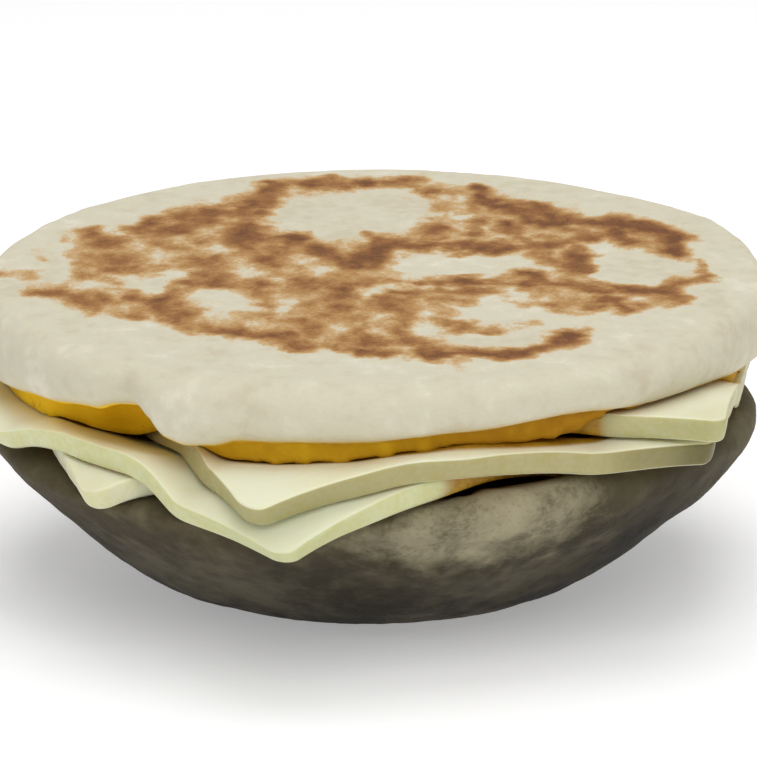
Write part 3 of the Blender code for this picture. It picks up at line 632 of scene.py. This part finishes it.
def drape(support, sag):
    # underside of a sheet laid on a support, one gap above it: soft where slices hang, level where stiff
    x, y = planGrid()
    hang = aroundRing(azimuthOf(x, y), slices["sag"])
    stiff = spreadSheet(support, slices["stiffSag"])
    sheet = stiff + (spreadSheet(support, sag) - stiff) * hang
    return overGap(softenSheet(sheet, support, slices["softRounds"]), slices["gap"])


def overGap(sheet, gap):
    # a sheet moved off its support along its normal: the gap times the length of the unnormalised normal
    sx, sy = np.gradient(sheet, slices["gridStep"])
    return sheet + gap * np.sqrt(1.0 + sx * sx + sy * sy)


def roundCorners(s, t, share):
    # pulls the unit square's corners onto quarter circles of the given share of its side
    p = np.clip((np.abs(s - 0.5) - (0.5 - share)) / share, 0.0, 1.0)
    q = np.clip((np.abs(t - 0.5) - (0.5 - share)) / share, 0.0, 1.0)
    both = (p > 0.0) & (q > 0.0)
    pIn = np.where(both, p * np.sqrt(1.0 - q * q / 2.0), p)
    qIn = np.where(both, q * np.sqrt(1.0 - p * p / 2.0), q)
    sIn = np.where(p > 0.0, 0.5 + np.sign(s - 0.5) * (0.5 - share + share * pIn), s)
    tIn = np.where(q > 0.0, 0.5 + np.sign(t - 0.5) * (0.5 - share + share * qIn), t)
    return sIn, tIn


def slicePlan(plan):
    # plan points of a slice: corners blended over the unit square, sides bowed as 4s(1-s), and drawn in
    # where it hangs over the rim
    spots = [np.array(corner) for corner in plan["corners"]]
    line = np.linspace(-1.0, 1.0, slices["cells"] + 1)
    crowd = slices["edgeCrowding"]
    line = 0.5 + 0.5 * ((1.0 - crowd) * line + crowd * np.sin(line * math.pi / 2.0))
    s, t = np.meshgrid(line, line, indexing="ij")
    s, t = roundCorners(s, t, plan["rounding"] / math.dist(spots[0], spots[3]))
    shares = ((1 - s) * (1 - t), s * (1 - t), s * t, (1 - s) * t)
    x = sum(share * spot[0] for share, spot in zip(shares, spots))
    y = sum(share * spot[1] for share, spot in zip(shares, spots))
    front = (spots[1] - spots[0]) / np.linalg.norm(spots[1] - spots[0])
    left = (spots[3] - spots[0]) / np.linalg.norm(spots[3] - spots[0])
    out = plan["frontBow"] * 4.0 * s * (1.0 - s) * (1.0 - t)
    away = plan["leftBow"] * 4.0 * t * (1.0 - t) * (1.0 - s)
    x, y = x + out * front[1] - away * left[1], y - out * front[0] + away * left[0]
    r = np.hypot(x, y)
    hang = aroundRing(azimuthOf(x, y), slices["sag"])
    drawn = r - slices["hangShortening"] * hang * np.maximum(r - slices["hangStart"], 0.0)
    scale = drawn / np.maximum(r, 1e-6)
    return x * scale, y * scale


def markGrid(x, y):
    # the grid's rows and columns nearest to some points
    i = np.rint((x.ravel() + slices["gridReach"]) / slices["gridStep"]).astype(int)
    j = np.rint((y.ravel() + slices["gridReach"]) / slices["gridStep"]).astype(int)
    return i, j


def between(values):
    # a grid of values with the middles of its cells and sides added
    rows = np.zeros((values.shape[0] * 2 - 1, values.shape[1]))
    rows[::2], rows[1::2] = values, (values[1:] + values[:-1]) / 2
    full = np.zeros((rows.shape[0], values.shape[1] * 2 - 1))
    full[:, ::2], full[:, 1::2] = rows, (rows[:, 1:] + rows[:, :-1]) / 2
    return full


def underSlice(x, y, support):
    # the support where the slice lies, and nothing elsewhere
    covered = np.zeros(support.shape, bool)
    covered[markGrid(between(x), between(y))] = True
    for _ in range(3):
        grown = covered.copy()
        grown[1:] |= covered[:-1]
        grown[:-1] |= covered[1:]
        grown[:, 1:] |= covered[:, :-1]
        grown[:, :-1] |= covered[:, 1:]
        covered = grown
    return np.where(covered, support, nothing)


def sliceSkins(plan, support):
    # bottom skin on the draped sheet, and top skin one thickness off along the sheet's normal
    x, y = slicePlan(plan)
    sheet = drape(underSlice(x, y, support), plan["sag"])
    z = sample(sheet, x, y)
    smoothed = softenSheet(sheet, np.full_like(sheet, nothing), slices["normalRounds"])
    sx, sy = np.gradient(smoothed, slices["gridStep"])
    nx, ny = -sample(sx, x, y), -sample(sy, x, y)
    length = np.sqrt(nx * nx + ny * ny + 1.0)
    free = smoothStep((np.hypot(x, y) - plan["free"] + slices["pressedWidth"]) / slices["pressedWidth"])
    thick = slices["pressedThickness"] + (slices["edgeThickness"] - slices["pressedThickness"]) * free
    bottom = np.stack([x, y, z], -1)
    # the top is not quite even, by a few hundredths of a millimetre
    cell, depth = slices["uneven"]
    thick = thick + softNoise(bottom, cell, plan["seed"]) * depth - depth
    top = bottom + np.stack([nx, ny, np.ones_like(nx)], -1) * (thick / length)[..., None]
    return bottom, top


def sliceBorder(n):
    # row and column indices round the edge of the grid, counter-clockwise
    up, zero, full = np.arange(n), np.zeros(n, int), np.full(n, n)
    return np.concatenate([up, full, n - up, zero]), np.concatenate([zero, up, full, n - up])


def buildSlice(name, plan, support):
    # two skins joined by a cut edge that bulges as a flattened half circle
    bottom, top = sliceSkins(plan, support)
    n = slices["cells"]
    width = n + 1
    bi, bj = sliceBorder(n)
    low, high = bottom[bi, bj], top[bi, bj]
    along = np.roll(low, -2, axis=0) - np.roll(low, 2, axis=0)
    out = np.stack([along[:, 1], -along[:, 0], np.zeros(len(bi))], -1)
    out /= np.linalg.norm(out, axis=1)[:, None]
    cell, depth = slices["ragged"]
    ragged = 1.0 + depth * softNoise(low, cell, plan["seed"] + 20)
    levels = (0.05, 0.14, 0.3, 0.5, 0.7, 0.86, 0.95)
    rows = []
    for w in levels:
        bulge = slices["edgeBulge"] * (1.0 - abs(2.0 * w - 1.0) ** 3) ** 0.5
        rows.append(low + (high - low) * w + out * (bulge * ragged - slices["edgeInset"])[:, None])
    bottom[bi, bj] -= out * slices["edgeInset"]
    top[bi, bj] -= out * slices["edgeInset"]
    verts = np.concatenate([bottom.reshape(-1, 3), top.reshape(-1, 3)] + rows)
    i, j = np.meshgrid(np.arange(n), np.arange(n), indexing="ij")
    a, b = (i * width + j).ravel(), ((i + 1) * width + j).ravel()
    lift = width * width
    under = np.stack([a, a + 1, b + 1, b], -1)
    over = np.stack([a, b, b + 1, a + 1], -1) + lift
    loops = [bi * width + bj] + [2 * lift + k * len(bi) + np.arange(len(bi)) for k in range(len(levels))]
    loops.append(bi * width + bj + lift)
    sides = [np.stack([p, np.roll(p, -1), np.roll(q, -1), q], -1) for p, q in zip(loops, loops[1:])]
    piece = meshPiece(name, verts, np.concatenate([under, over] + sides).tolist())
    # how deep the cheese lies in the painted golden shade under the upper bread, where its cut edge is, how
    # much of that edge is painted in shadow, and how far it hangs out
    turn, radius = azimuthOf(verts[:, 0], verts[:, 1]), np.hypot(verts[:, 0], verts[:, 1])
    underLipShade = smoothStep((aroundRing(turn, slices["shadeGoldEdge"]) - radius) / slices["shadeGoldWidth"])
    pointValues(piece, "underLipShade", underLipShade)
    cut = np.zeros(len(verts))
    cut[2 * lift:] = 1.0
    pointValues(piece, "cutEdge", cut)
    # painted shadow: the right end of the cut edge, shaded by the slice above
    pointValues(piece, "cutShadow", aroundRing(turn, slices["cutShadow"]))
    # painted shade: darker where the cheese hangs out and droops
    overhang = smoothStep((radius - slices["hangShadeFrom"]) / slices["hangShadeWidth"])
    pointValues(piece, "overhang", overhang)
    raisedTop = support.copy()
    x, y, z = (between(top[..., k]) for k in range(3))
    np.maximum.at(raisedTop, markGrid(x, y), z.ravel())
    return piece, raisedTop


view = {
    "eye": (0.0, -439.3, 137.4),
    "elevation": 14.32,
    "turn": 0.138,
    "lens": 168.0,
    "sensor": 36.0,
    "clip": (0.01, 20.0),
}
studio = {
    "floorHalf": 1500.0,
    "floorTone": 0.82,
    "floorGlow": 0.31,
    "sky": 0.47,
    "aim": (0.0, 0.0, 0.03),
    # each panel's place, size in metres, power in watts and colour
    "keyPanel": ((0.05, -0.7, 0.9), 0.8, 4.2, (1.0, 0.995, 0.985)),
    "topPanel": ((0.05, 0.15, 1.1), 0.9, 4.4, (1.0, 1.0, 1.0)),
}


def buildCamera():
    # looks level across, tipped down by the elevation and turned a little to the right
    camera = bpy.data.cameras.new("camera")
    camera.lens = view["lens"]
    camera.sensor_width = view["sensor"]
    camera.clip_start, camera.clip_end = view["clip"]
    holder = bpy.data.objects.new("camera", camera)
    holder.location = Vector(view["eye"]) * mm
    holder.rotation_euler = (math.radians(90.0 - view["elevation"]), 0.0, math.radians(-view["turn"]))
    bpy.context.collection.objects.link(holder)
    bpy.context.scene.camera = holder


def buildFloor():
    # a wide pale square at the height of the base
    half, tone = studio["floorHalf"], studio["floorTone"]
    verts = [(-half, -half, 0.0), (half, -half, 0.0), (half, half, 0.0), (-half, half, 0.0)]
    floor = meshPiece("floor", verts, [(0, 1, 2, 3)])
    paint = bpy.data.materials.new("paleFloor")
    paint.use_nodes = True
    shader = paint.node_tree.nodes["Principled BSDF"]
    shader.inputs["Base Color"].default_value = (tone, tone, tone, 1.0)
    shader.inputs["Emission Color"].default_value = (1.0, 1.0, 1.0, 1.0)
    shader.inputs["Emission Strength"].default_value = studio["floorGlow"]
    shader.inputs["Roughness"].default_value = 0.85
    shader.inputs["Specular IOR Level"].default_value = 0.1
    floor.data.materials.append(paint)


def addPanel(name):
    # a round area light that looks at the sandwich
    place, size, power, colour = studio[name]
    light = bpy.data.lights.new(name, "AREA")
    light.shape = "DISK"
    light.size = size
    light.energy = power
    light.color = colour
    holder = bpy.data.objects.new(name, light)
    holder.location = place
    holder.rotation_euler = (Vector(studio["aim"]) - Vector(place)).to_track_quat("-Z", "Y").to_euler()
    bpy.context.collection.objects.link(holder)


def buildLight():
    # one panel in front, one above, and an even sky
    addPanel("keyPanel")
    addPanel("topPanel")
    world = bpy.data.worlds.new("studio")
    world.use_nodes = True
    sky = world.node_tree.nodes["Background"]
    sky.inputs["Color"].default_value = (1.0, 1.0, 1.0, 1.0)
    sky.inputs["Strength"].default_value = studio["sky"]
    bpy.context.scene.world = world
    bpy.context.scene.view_settings.view_transform = "Standard"
    bpy.context.scene.view_settings.look = "None"


def addNode(tree, kind, place=None, links=None, **settings):
    # a node with its settings, its input values and its incoming links
    node = tree.nodes.new("ShaderNode" + kind)
    for key, value in settings.items():
        setattr(node, key, value)
    for key, value in (place or {}).items():
        node.inputs[key].default_value = value
    for key, source in (links or {}).items():
        tree.links.new(source, node.inputs[key])
    return node


def rampNode(tree, source, stops, ease="EASE"):
    # a colour ramp from (place, colour) stops
    ramp = addNode(tree, "ValToRGB", links={"Fac": source})
    ramp.color_ramp.interpolation = ease
    points = ramp.color_ramp.elements
    while len(points) < len(stops):
        points.new(0.5)
    for point, (at, colour) in zip(points, stops):
        point.position = at
        point.color = colour
    return ramp.outputs["Color"]


def mixColour(tree, factor, a, b, blend="MIX"):
    # factor, a and b are sockets, colours or numbers
    node = addNode(tree, "Mix", data_type="RGBA", blend_type=blend, clamp_factor=True)
    for socket, value in ((node.inputs[0], factor), (node.inputs[6], a), (node.inputs[7], b)):
        if isinstance(value, bpy.types.NodeSocket):
            tree.links.new(value, socket)
        else:
            socket.default_value = value
    return node.outputs[2]


def mathNode(tree, operation, a, b=0.0, clamp=False):
    # one sum, difference or product; a and b are sockets or numbers
    node = addNode(tree, "Math", operation=operation, use_clamp=clamp)
    for socket, value in ((node.inputs[0], a), (node.inputs[1], b)):
        if isinstance(value, bpy.types.NodeSocket):
            tree.links.new(value, socket)
        else:
            socket.default_value = value
    return node.outputs[0]


def spanNode(tree, source, low, high, toLow=0.0, toHigh=1.0):
    # source from low..high to toLow..toHigh, smoothly and held at the ends
    ends = {1: low, 2: high, 3: toLow, 4: toHigh}
    return addNode(tree, "MapRange", ends, {0: source}, interpolation_type="SMOOTHSTEP").outputs[0]


def times(tree, a, b, clamp=False):
    return mathNode(tree, "MULTIPLY", a, b, clamp)


def aroundHalf(tree, tone, size):
    # a tone that lies round a half, moved to lie round nothing, times a size
    return times(tree, mathNode(tree, "SUBTRACT", tone, 0.5), size)


def newGroup(name, inputs, outputs):
    # a shader node group with named number sockets
    group = bpy.data.node_groups.new(name, "ShaderNodeTree")
    for label, value in inputs:
        socket = group.interface.new_socket(name=label, in_out="INPUT", socket_type="NodeSocketFloat")
        socket.default_value = value
    for label in outputs:
        group.interface.new_socket(name=label, in_out="OUTPUT", socket_type="NodeSocketFloat")
    return group, group.nodes.new("NodeGroupInput"), group.nodes.new("NodeGroupOutput")


def buildMottleGroup():
    # uneven tone: a broad cloud and a finer one, each around a half, mixed by Fineness
    group, given, out = newGroup("mottle", (("Scale", 120.0), ("Fineness", 0.4), ("Seed", 0.0)), ("Tone",))
    place = addNode(group, "TexCoord").outputs["Object"]
    scale, seed = given.outputs["Scale"], given.outputs["Seed"]
    shifted = addNode(group, "VectorMath", links={0: place, 1: seed}, operation="ADD").outputs[0]
    broadLook, fineLook = {"Detail": 3.0, "Roughness": 0.55}, {"Detail": 4.0, "Roughness": 0.6}
    broad = addNode(group, "TexNoise", broadLook, {"Vector": shifted, "Scale": scale})
    fine = addNode(group, "TexNoise", fineLook, {"Vector": shifted, "Scale": times(group, scale, 4.7)})
    mixed = addNode(group, "Mix", data_type="FLOAT")
    group.links.new(given.outputs["Fineness"], mixed.inputs[0])
    group.links.new(broad.outputs["Fac"], mixed.inputs[2])
    group.links.new(fine.outputs["Fac"], mixed.inputs[3])
    group.links.new(mixed.outputs[0], out.inputs["Tone"])
    return group


def buildSkinGroup():
    # baked skin: fine grain with small pores; Height goes to a bump and Pores marks the holes
    inputs = (("Grain", 1500.0), ("Pore", 520.0), ("Openness", 0.3))
    group, given, out = newGroup("bakedSkin", inputs, ("Height", "Pores"))
    place = addNode(group, "TexCoord").outputs["Object"]
    atGrain = {"Vector": place, "Scale": given.outputs["Grain"]}
    grain = addNode(group, "TexNoise", {"Detail": 5.0, "Roughness": 0.65}, atGrain)
    atPore = {"Vector": place, "Scale": given.outputs["Pore"]}
    cells = addNode(group, "TexVoronoi", {"Randomness": 1.0}, atPore, feature="SMOOTH_F1")
    clump = addNode(group, "TexNoise", {"Scale": 260.0, "Detail": 2.0}, {"Vector": place})
    hole = mathNode(group, "SUBTRACT", 1.0, times(group, cells.outputs["Distance"], 3.2), True)
    where = spanNode(group, clump.outputs["Fac"], 0.5, 0.68)
    pores = times(group, hole, times(group, where, given.outputs["Openness"]), True)
    height = mathNode(group, "SUBTRACT", grain.outputs["Fac"], times(group, pores, 1.6))
    group.links.new(height, out.inputs["Height"])
    group.links.new(pores, out.inputs["Pores"])
    return group


def placeGroup(tree, group, **values):
    node = tree.nodes.new("ShaderNodeGroup")
    node.node_tree = group
    for key, value in values.items():
        node.inputs[key].default_value = value
    return node


def newMaterial(name):
    material = bpy.data.materials.new(name)
    material.use_nodes = True
    tree = material.node_tree
    return material, tree, tree.nodes["Principled BSDF"]


def readValue(tree, name):
    # a number that the piece carries at its vertices
    return addNode(tree, "Attribute", attribute_name=name).outputs["Fac"]


def bumpInto(tree, shader, height, strength, distance):
    bump = addNode(tree, "Bump", {"Strength": strength, "Distance": distance}, {"Height": height})
    tree.links.new(bump.outputs["Normal"], shader.inputs["Normal"])


def glowInside(shader, weight, radius, scale):
    # light that goes in and comes out again nearby: its share, its reach by colour, and the whole reach
    shader.inputs["Subsurface Weight"].default_value = weight
    shader.inputs["Subsurface Radius"].default_value = radius
    shader.inputs["Subsurface Scale"].default_value = scale


upperBreadLook = {
    "pale": srgb(212, 206, 183),
    "paleShade": srgb(203, 194, 169),
    "flour": srgb(224, 218, 198),
    "cast": srgb(204, 173, 128),
    "tan": srgb(180, 137, 82),
    "brown": srgb(148, 98, 45),
    "deepBrown": srgb(112, 66, 24),
    "browning": ("pale", "cast", "tan", "brown", "deepBrown"),
    "lipGold": srgb(216, 190, 122),
    # painted shade: the crumb's gold is the golden shade in the gap between bread and cheese
    "crumb": srgb(246, 200, 22),
    "crumbDeep": srgb(168, 116, 2),
    "crumbRust": srgb(142, 74, 6),
}


def makeUpperBreadMaterial(mottle, skin):
    # pale floury crust, browned where the griddle touched it, with a toasted lip and a crumb painted golden
    # as the shade in the gap under the lip
    look = upperBreadLook
    material, tree, shader = newMaterial("griddledBread")
    tone = placeGroup(tree, mottle, Scale=95.0, Fineness=0.45, Seed=0.3).outputs["Tone"]
    speck = placeGroup(tree, mottle, Scale=420.0, Fineness=0.5, Seed=1.7).outputs["Tone"]
    baked = placeGroup(tree, skin, Grain=1400.0, Pore=430.0, Openness=0.35)
    plain = rampNode(tree, tone, ((0.34, look["paleShade"]), (0.52, look["pale"]), (0.68, look["flour"])))
    # painted shade: the pores a little darker
    plain = mixColour(tree, times(tree, baked.outputs["Pores"], 0.5), plain, look["paleShade"])
    # browning: the layout from the piece, broken up by the specks where there is any
    browned = readValue(tree, "browned")
    torn = mathNode(tree, "ADD", aroundHalf(tree, speck, 1.1), aroundHalf(tree, tone, 0.4))
    broken = times(tree, torn, spanNode(tree, browned, 0.0, 0.35))
    amount = mathNode(tree, "ADD", browned, broken, True)
    stops = zip((0.1, 0.26, 0.48, 0.74, 1.0), (look[name] for name in look["browning"]))
    toasted = rampNode(tree, amount, tuple(stops), "LINEAR")
    colour = mixColour(tree, spanNode(tree, amount, 0.03, 0.28), plain, toasted)
    # the lip is toasted a little, and the crumb under it is painted golden, as painted shade of the gap, more
    # in some places than in others
    colour = mixColour(tree, times(tree, readValue(tree, "lip"), 0.7), colour, look["lipGold"])
    gapShadeGold = mathNode(tree, "ADD", readValue(tree, "gapShadeGold"), aroundHalf(tree, tone, 0.8), True)
    inside = mixColour(tree, gapShadeGold, look["crumbDeep"], look["crumb"])
    inside = mixColour(tree, spanNode(tree, speck, 0.56, 0.72, 0.0, 0.5), inside, look["crumbRust"])
    colour = mixColour(tree, readValue(tree, "crumb"), colour, inside)
    tree.links.new(colour, shader.inputs["Base Color"])
    tree.links.new(spanNode(tree, amount, 0.2, 0.8, 0.82, 0.62), shader.inputs["Roughness"])
    shader.inputs["Specular IOR Level"].default_value = 0.3
    glowInside(shader, 0.12, (1.0, 0.6, 0.2), 0.0018)
    bumpInto(tree, shader, baked.outputs["Height"], 0.35, 0.00025)
    return material


lowerBreadLook = {
    # darker than the toasted crust alone: painted shade of the half that faces down
    "rim": srgb(90, 82, 58),
    "wall": srgb(65, 56, 35),
    "wallDark": srgb(51, 44, 28),
    "base": srgb(43, 37, 23),
    "baseBrown": srgb(35, 29, 18),
    "pale": srgb(170, 161, 131),
    "crumb": srgb(150, 118, 62),
    "crumbDeep": srgb(98, 70, 32),
    # painted shade under the cheese at the right
    "shadeUnderCheese": (0.40, 0.37, 0.27, 1.0),
    # from the base's colour up to the rim's
    "rising": ("baseBrown", "base", "wallDark", "wall", "rim"),
    "rimHeight": 0.0245,
    # heights in metres between which the pale patch of painted light comes in
    "paleLow": 0.0118,
    "paleHigh": 0.018,
}


def makeLowerBreadMaterial(mottle, skin):
    # dark crust, from brown at the base to grey at the rim, partly toasted and partly painted shade of the
    # half that faces down, with one pale patch of painted light
    look = lowerBreadLook
    material, tree, shader = newMaterial("toastedBread")
    tone = placeGroup(tree, mottle, Scale=70.0, Fineness=0.35, Seed=2.9).outputs["Tone"]
    speck = placeGroup(tree, mottle, Scale=380.0, Fineness=0.5, Seed=4.1).outputs["Tone"]
    baked = placeGroup(tree, skin, Grain=1300.0, Pore=400.0, Openness=0.4)
    place = addNode(tree, "TexCoord").outputs["Object"]
    height = addNode(tree, "SeparateXYZ", links={0: place}).outputs["Z"]
    # darker and browner towards the base, partly toasting and partly painted shade of the underside, with an
    # uneven border
    shifted = mathNode(tree, "ADD", height, aroundHalf(tree, tone, 0.012))
    level = spanNode(tree, shifted, 0.0, look["rimHeight"])
    stops = zip((0.02, 0.22, 0.5, 0.78, 0.97), (look[name] for name in look["rising"]))
    wall = rampNode(tree, level, tuple(stops), "LINEAR")
    wall = mixColour(tree, spanNode(tree, tone, 0.42, 0.66, 0.0, 0.16), wall, look["pale"])
    # the pale patch, painted light: the piece's layout, cut by height and torn by the same cloud
    patch = mathNode(tree, "ADD", readValue(tree, "litPatch"), aroundHalf(tree, tone, 1.4))
    patch = mathNode(tree, "ADD", patch, aroundHalf(tree, speck, 1.3))
    rising = spanNode(tree, shifted, look["paleLow"], look["paleHigh"])
    patch = times(tree, spanNode(tree, patch, 0.2, 1.25), rising)
    wall = mixColour(tree, patch, wall, look["pale"])
    wall = mixColour(tree, spanNode(tree, speck, 0.52, 0.68, 0.0, 0.35), wall, look["wallDark"])
    # painted shade: the pores darker
    wall = mixColour(tree, times(tree, baked.outputs["Pores"], 0.6), wall, look["base"])
    # painted shade: the wall darker round the right, under the cheese
    wall = mixColour(tree, readValue(tree, "shadeUnderCheese"), wall, look["shadeUnderCheese"], "MULTIPLY")
    inside = rampNode(tree, tone, ((0.38, look["crumbDeep"]), (0.6, look["crumb"])))
    colour = mixColour(tree, readValue(tree, "crumb"), wall, inside)
    tree.links.new(colour, shader.inputs["Base Color"])
    tree.links.new(spanNode(tree, speck, 0.3, 0.7, 0.86, 0.7), shader.inputs["Roughness"])
    shader.inputs["Specular IOR Level"].default_value = 0.28
    glowInside(shader, 0.08, (1.0, 0.6, 0.3), 0.001)
    bumpInto(tree, shader, baked.outputs["Height"], 0.4, 0.0003)
    return material


cheeseLook = {
    "cream": srgb(243, 241, 220),
    "creamDeep": srgb(238, 232, 200),
    # painted shade: the golden colour of cheese lying in shade under the bread's lip
    "shadeGold": srgb(194, 150, 34),
    "shadeGoldDeep": srgb(162, 112, 10),
    "cutShade": (0.95, 0.92, 0.76, 1.0),
    # painted shade of the hanging ends
    "hangShade": (0.84, 0.86, 0.79, 1.0),
}


def makeCheeseMaterial(name, mottle, seed, tint, cutEdgeShade, cutShadowTint):
    # waxy cream cheese: painted golden where it lies under the bread's lip, as painted shade; its cut edge
    # darker, as painted shade, and darker still at one end, as painted shadow; a little darker where it hangs
    # out, as painted shade
    look = cheeseLook
    material, tree, shader = newMaterial(name)
    tone = placeGroup(tree, mottle, Scale=60.0, Fineness=0.2, Seed=seed).outputs["Tone"]
    streak = placeGroup(tree, mottle, Scale=300.0, Fineness=0.5, Seed=seed + 3.0).outputs["Tone"]
    body = rampNode(tree, tone, ((0.32, look["creamDeep"]), (0.62, look["cream"])))
    # the cut edge is darker than the top, as painted shade of the edges, and a little darker and yellower in
    # patches
    cut = mixColour(tree, spanNode(tree, streak, 0.4, 0.62), cutEdgeShade, look["cutShade"], "MULTIPLY")
    # painted shadow: the cut edge darkened at its right end, where the slice above shades it
    cut = mixColour(tree, readValue(tree, "cutShadow"), cut, cutShadowTint, "MULTIPLY")
    body = mixColour(tree, readValue(tree, "cutEdge"), body, cut)
    # painted shade: golden where the cheese lies under the bread's lip
    underLipShade = mathNode(tree, "ADD", readValue(tree, "underLipShade"), aroundHalf(tree, streak, 0.25))
    shadeGold = rampNode(tree, streak, ((0.35, look["shadeGoldDeep"]), (0.6, look["shadeGold"])))
    colour = mixColour(tree, spanNode(tree, underLipShade, 0.1, 0.9), body, shadeGold)
    colour = mixColour(tree, 1.0, colour, tint, "MULTIPLY")
    # painted shade: darker where the cheese hangs out past the bread
    colour = mixColour(tree, readValue(tree, "overhang"), colour, look["hangShade"], "MULTIPLY")
    tree.links.new(colour, shader.inputs["Base Color"])
    tree.links.new(spanNode(tree, streak, 0.35, 0.65, 0.36, 0.5), shader.inputs["Roughness"])
    glowInside(shader, 0.5, (1.0, 0.75, 0.35), 0.0025)
    height = mathNode(tree, "ADD", times(tree, tone, 2.0), times(tree, streak, 0.5))
    bumpInto(tree, shader, height, 0.18, 0.0004)
    return material


buildCamera()
buildFloor()
buildLight()
print("camera, floor and light stand")

mottleGroup = buildMottleGroup()
skinGroup = buildSkinGroup()

lowerPiece = buildLowerBread()
lowerPiece.data.materials.append(makeLowerBreadMaterial(mottleGroup, skinGroup))
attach(lowerPiece, "root")
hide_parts("lower_bread")
print("lower bread built", len(lowerPiece.data.polygons))

gridX, gridY = planGrid()
gridR, gridA = np.hypot(gridX, gridY), azimuthOf(gridX, gridY)
support = np.where(gridR <= bread["radius"] + outlineWave(gridA), cutFace(gridR, gridA), nothing)
# each slice's tint, the colour of its cut edge (darker than its top: painted shade), and the tint of that
# edge's end that is painted in shadow
tints = {
    "lowest": ((1.0, 1.0, 1.0, 1.0), srgb(230, 228, 198), (1.0, 1.0, 1.0, 1.0)),
    "lower": ((0.96, 0.98, 0.95, 1.0), srgb(220, 220, 178), (1.0, 1.0, 1.0, 1.0)),
    "upper": ((0.99, 1.0, 1.0, 1.0), srgb(184, 175, 128), (0.38, 0.35, 0.20, 1.0)),
    "top": ((1.0, 1.0, 1.0, 1.0), srgb(196, 192, 150), (1.0, 1.0, 0.95, 1.0)),
}
for order, part in enumerate(("lowest", "lower", "upper", "top")):
    label = "cheese" + part.capitalize()
    cheesePiece, support = buildSlice(label, slices[part], support)
    toneSeed = 5.0 + order * 1.3
    cheesePiece.data.materials.append(makeCheeseMaterial(label, mottleGroup, toneSeed, *tints[part]))
    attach(cheesePiece, "root")
    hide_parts("cheese_slice_" + part)
    print(label, "laid", len(cheesePiece.data.polygons))

upperPiece = buildUpperBread(support)
upperPiece.data.materials.append(makeUpperBreadMaterial(mottleGroup, skinGroup))
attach(upperPiece, "root")
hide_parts("upper_bread")
print("upper bread built", len(upperPiece.data.polygons))
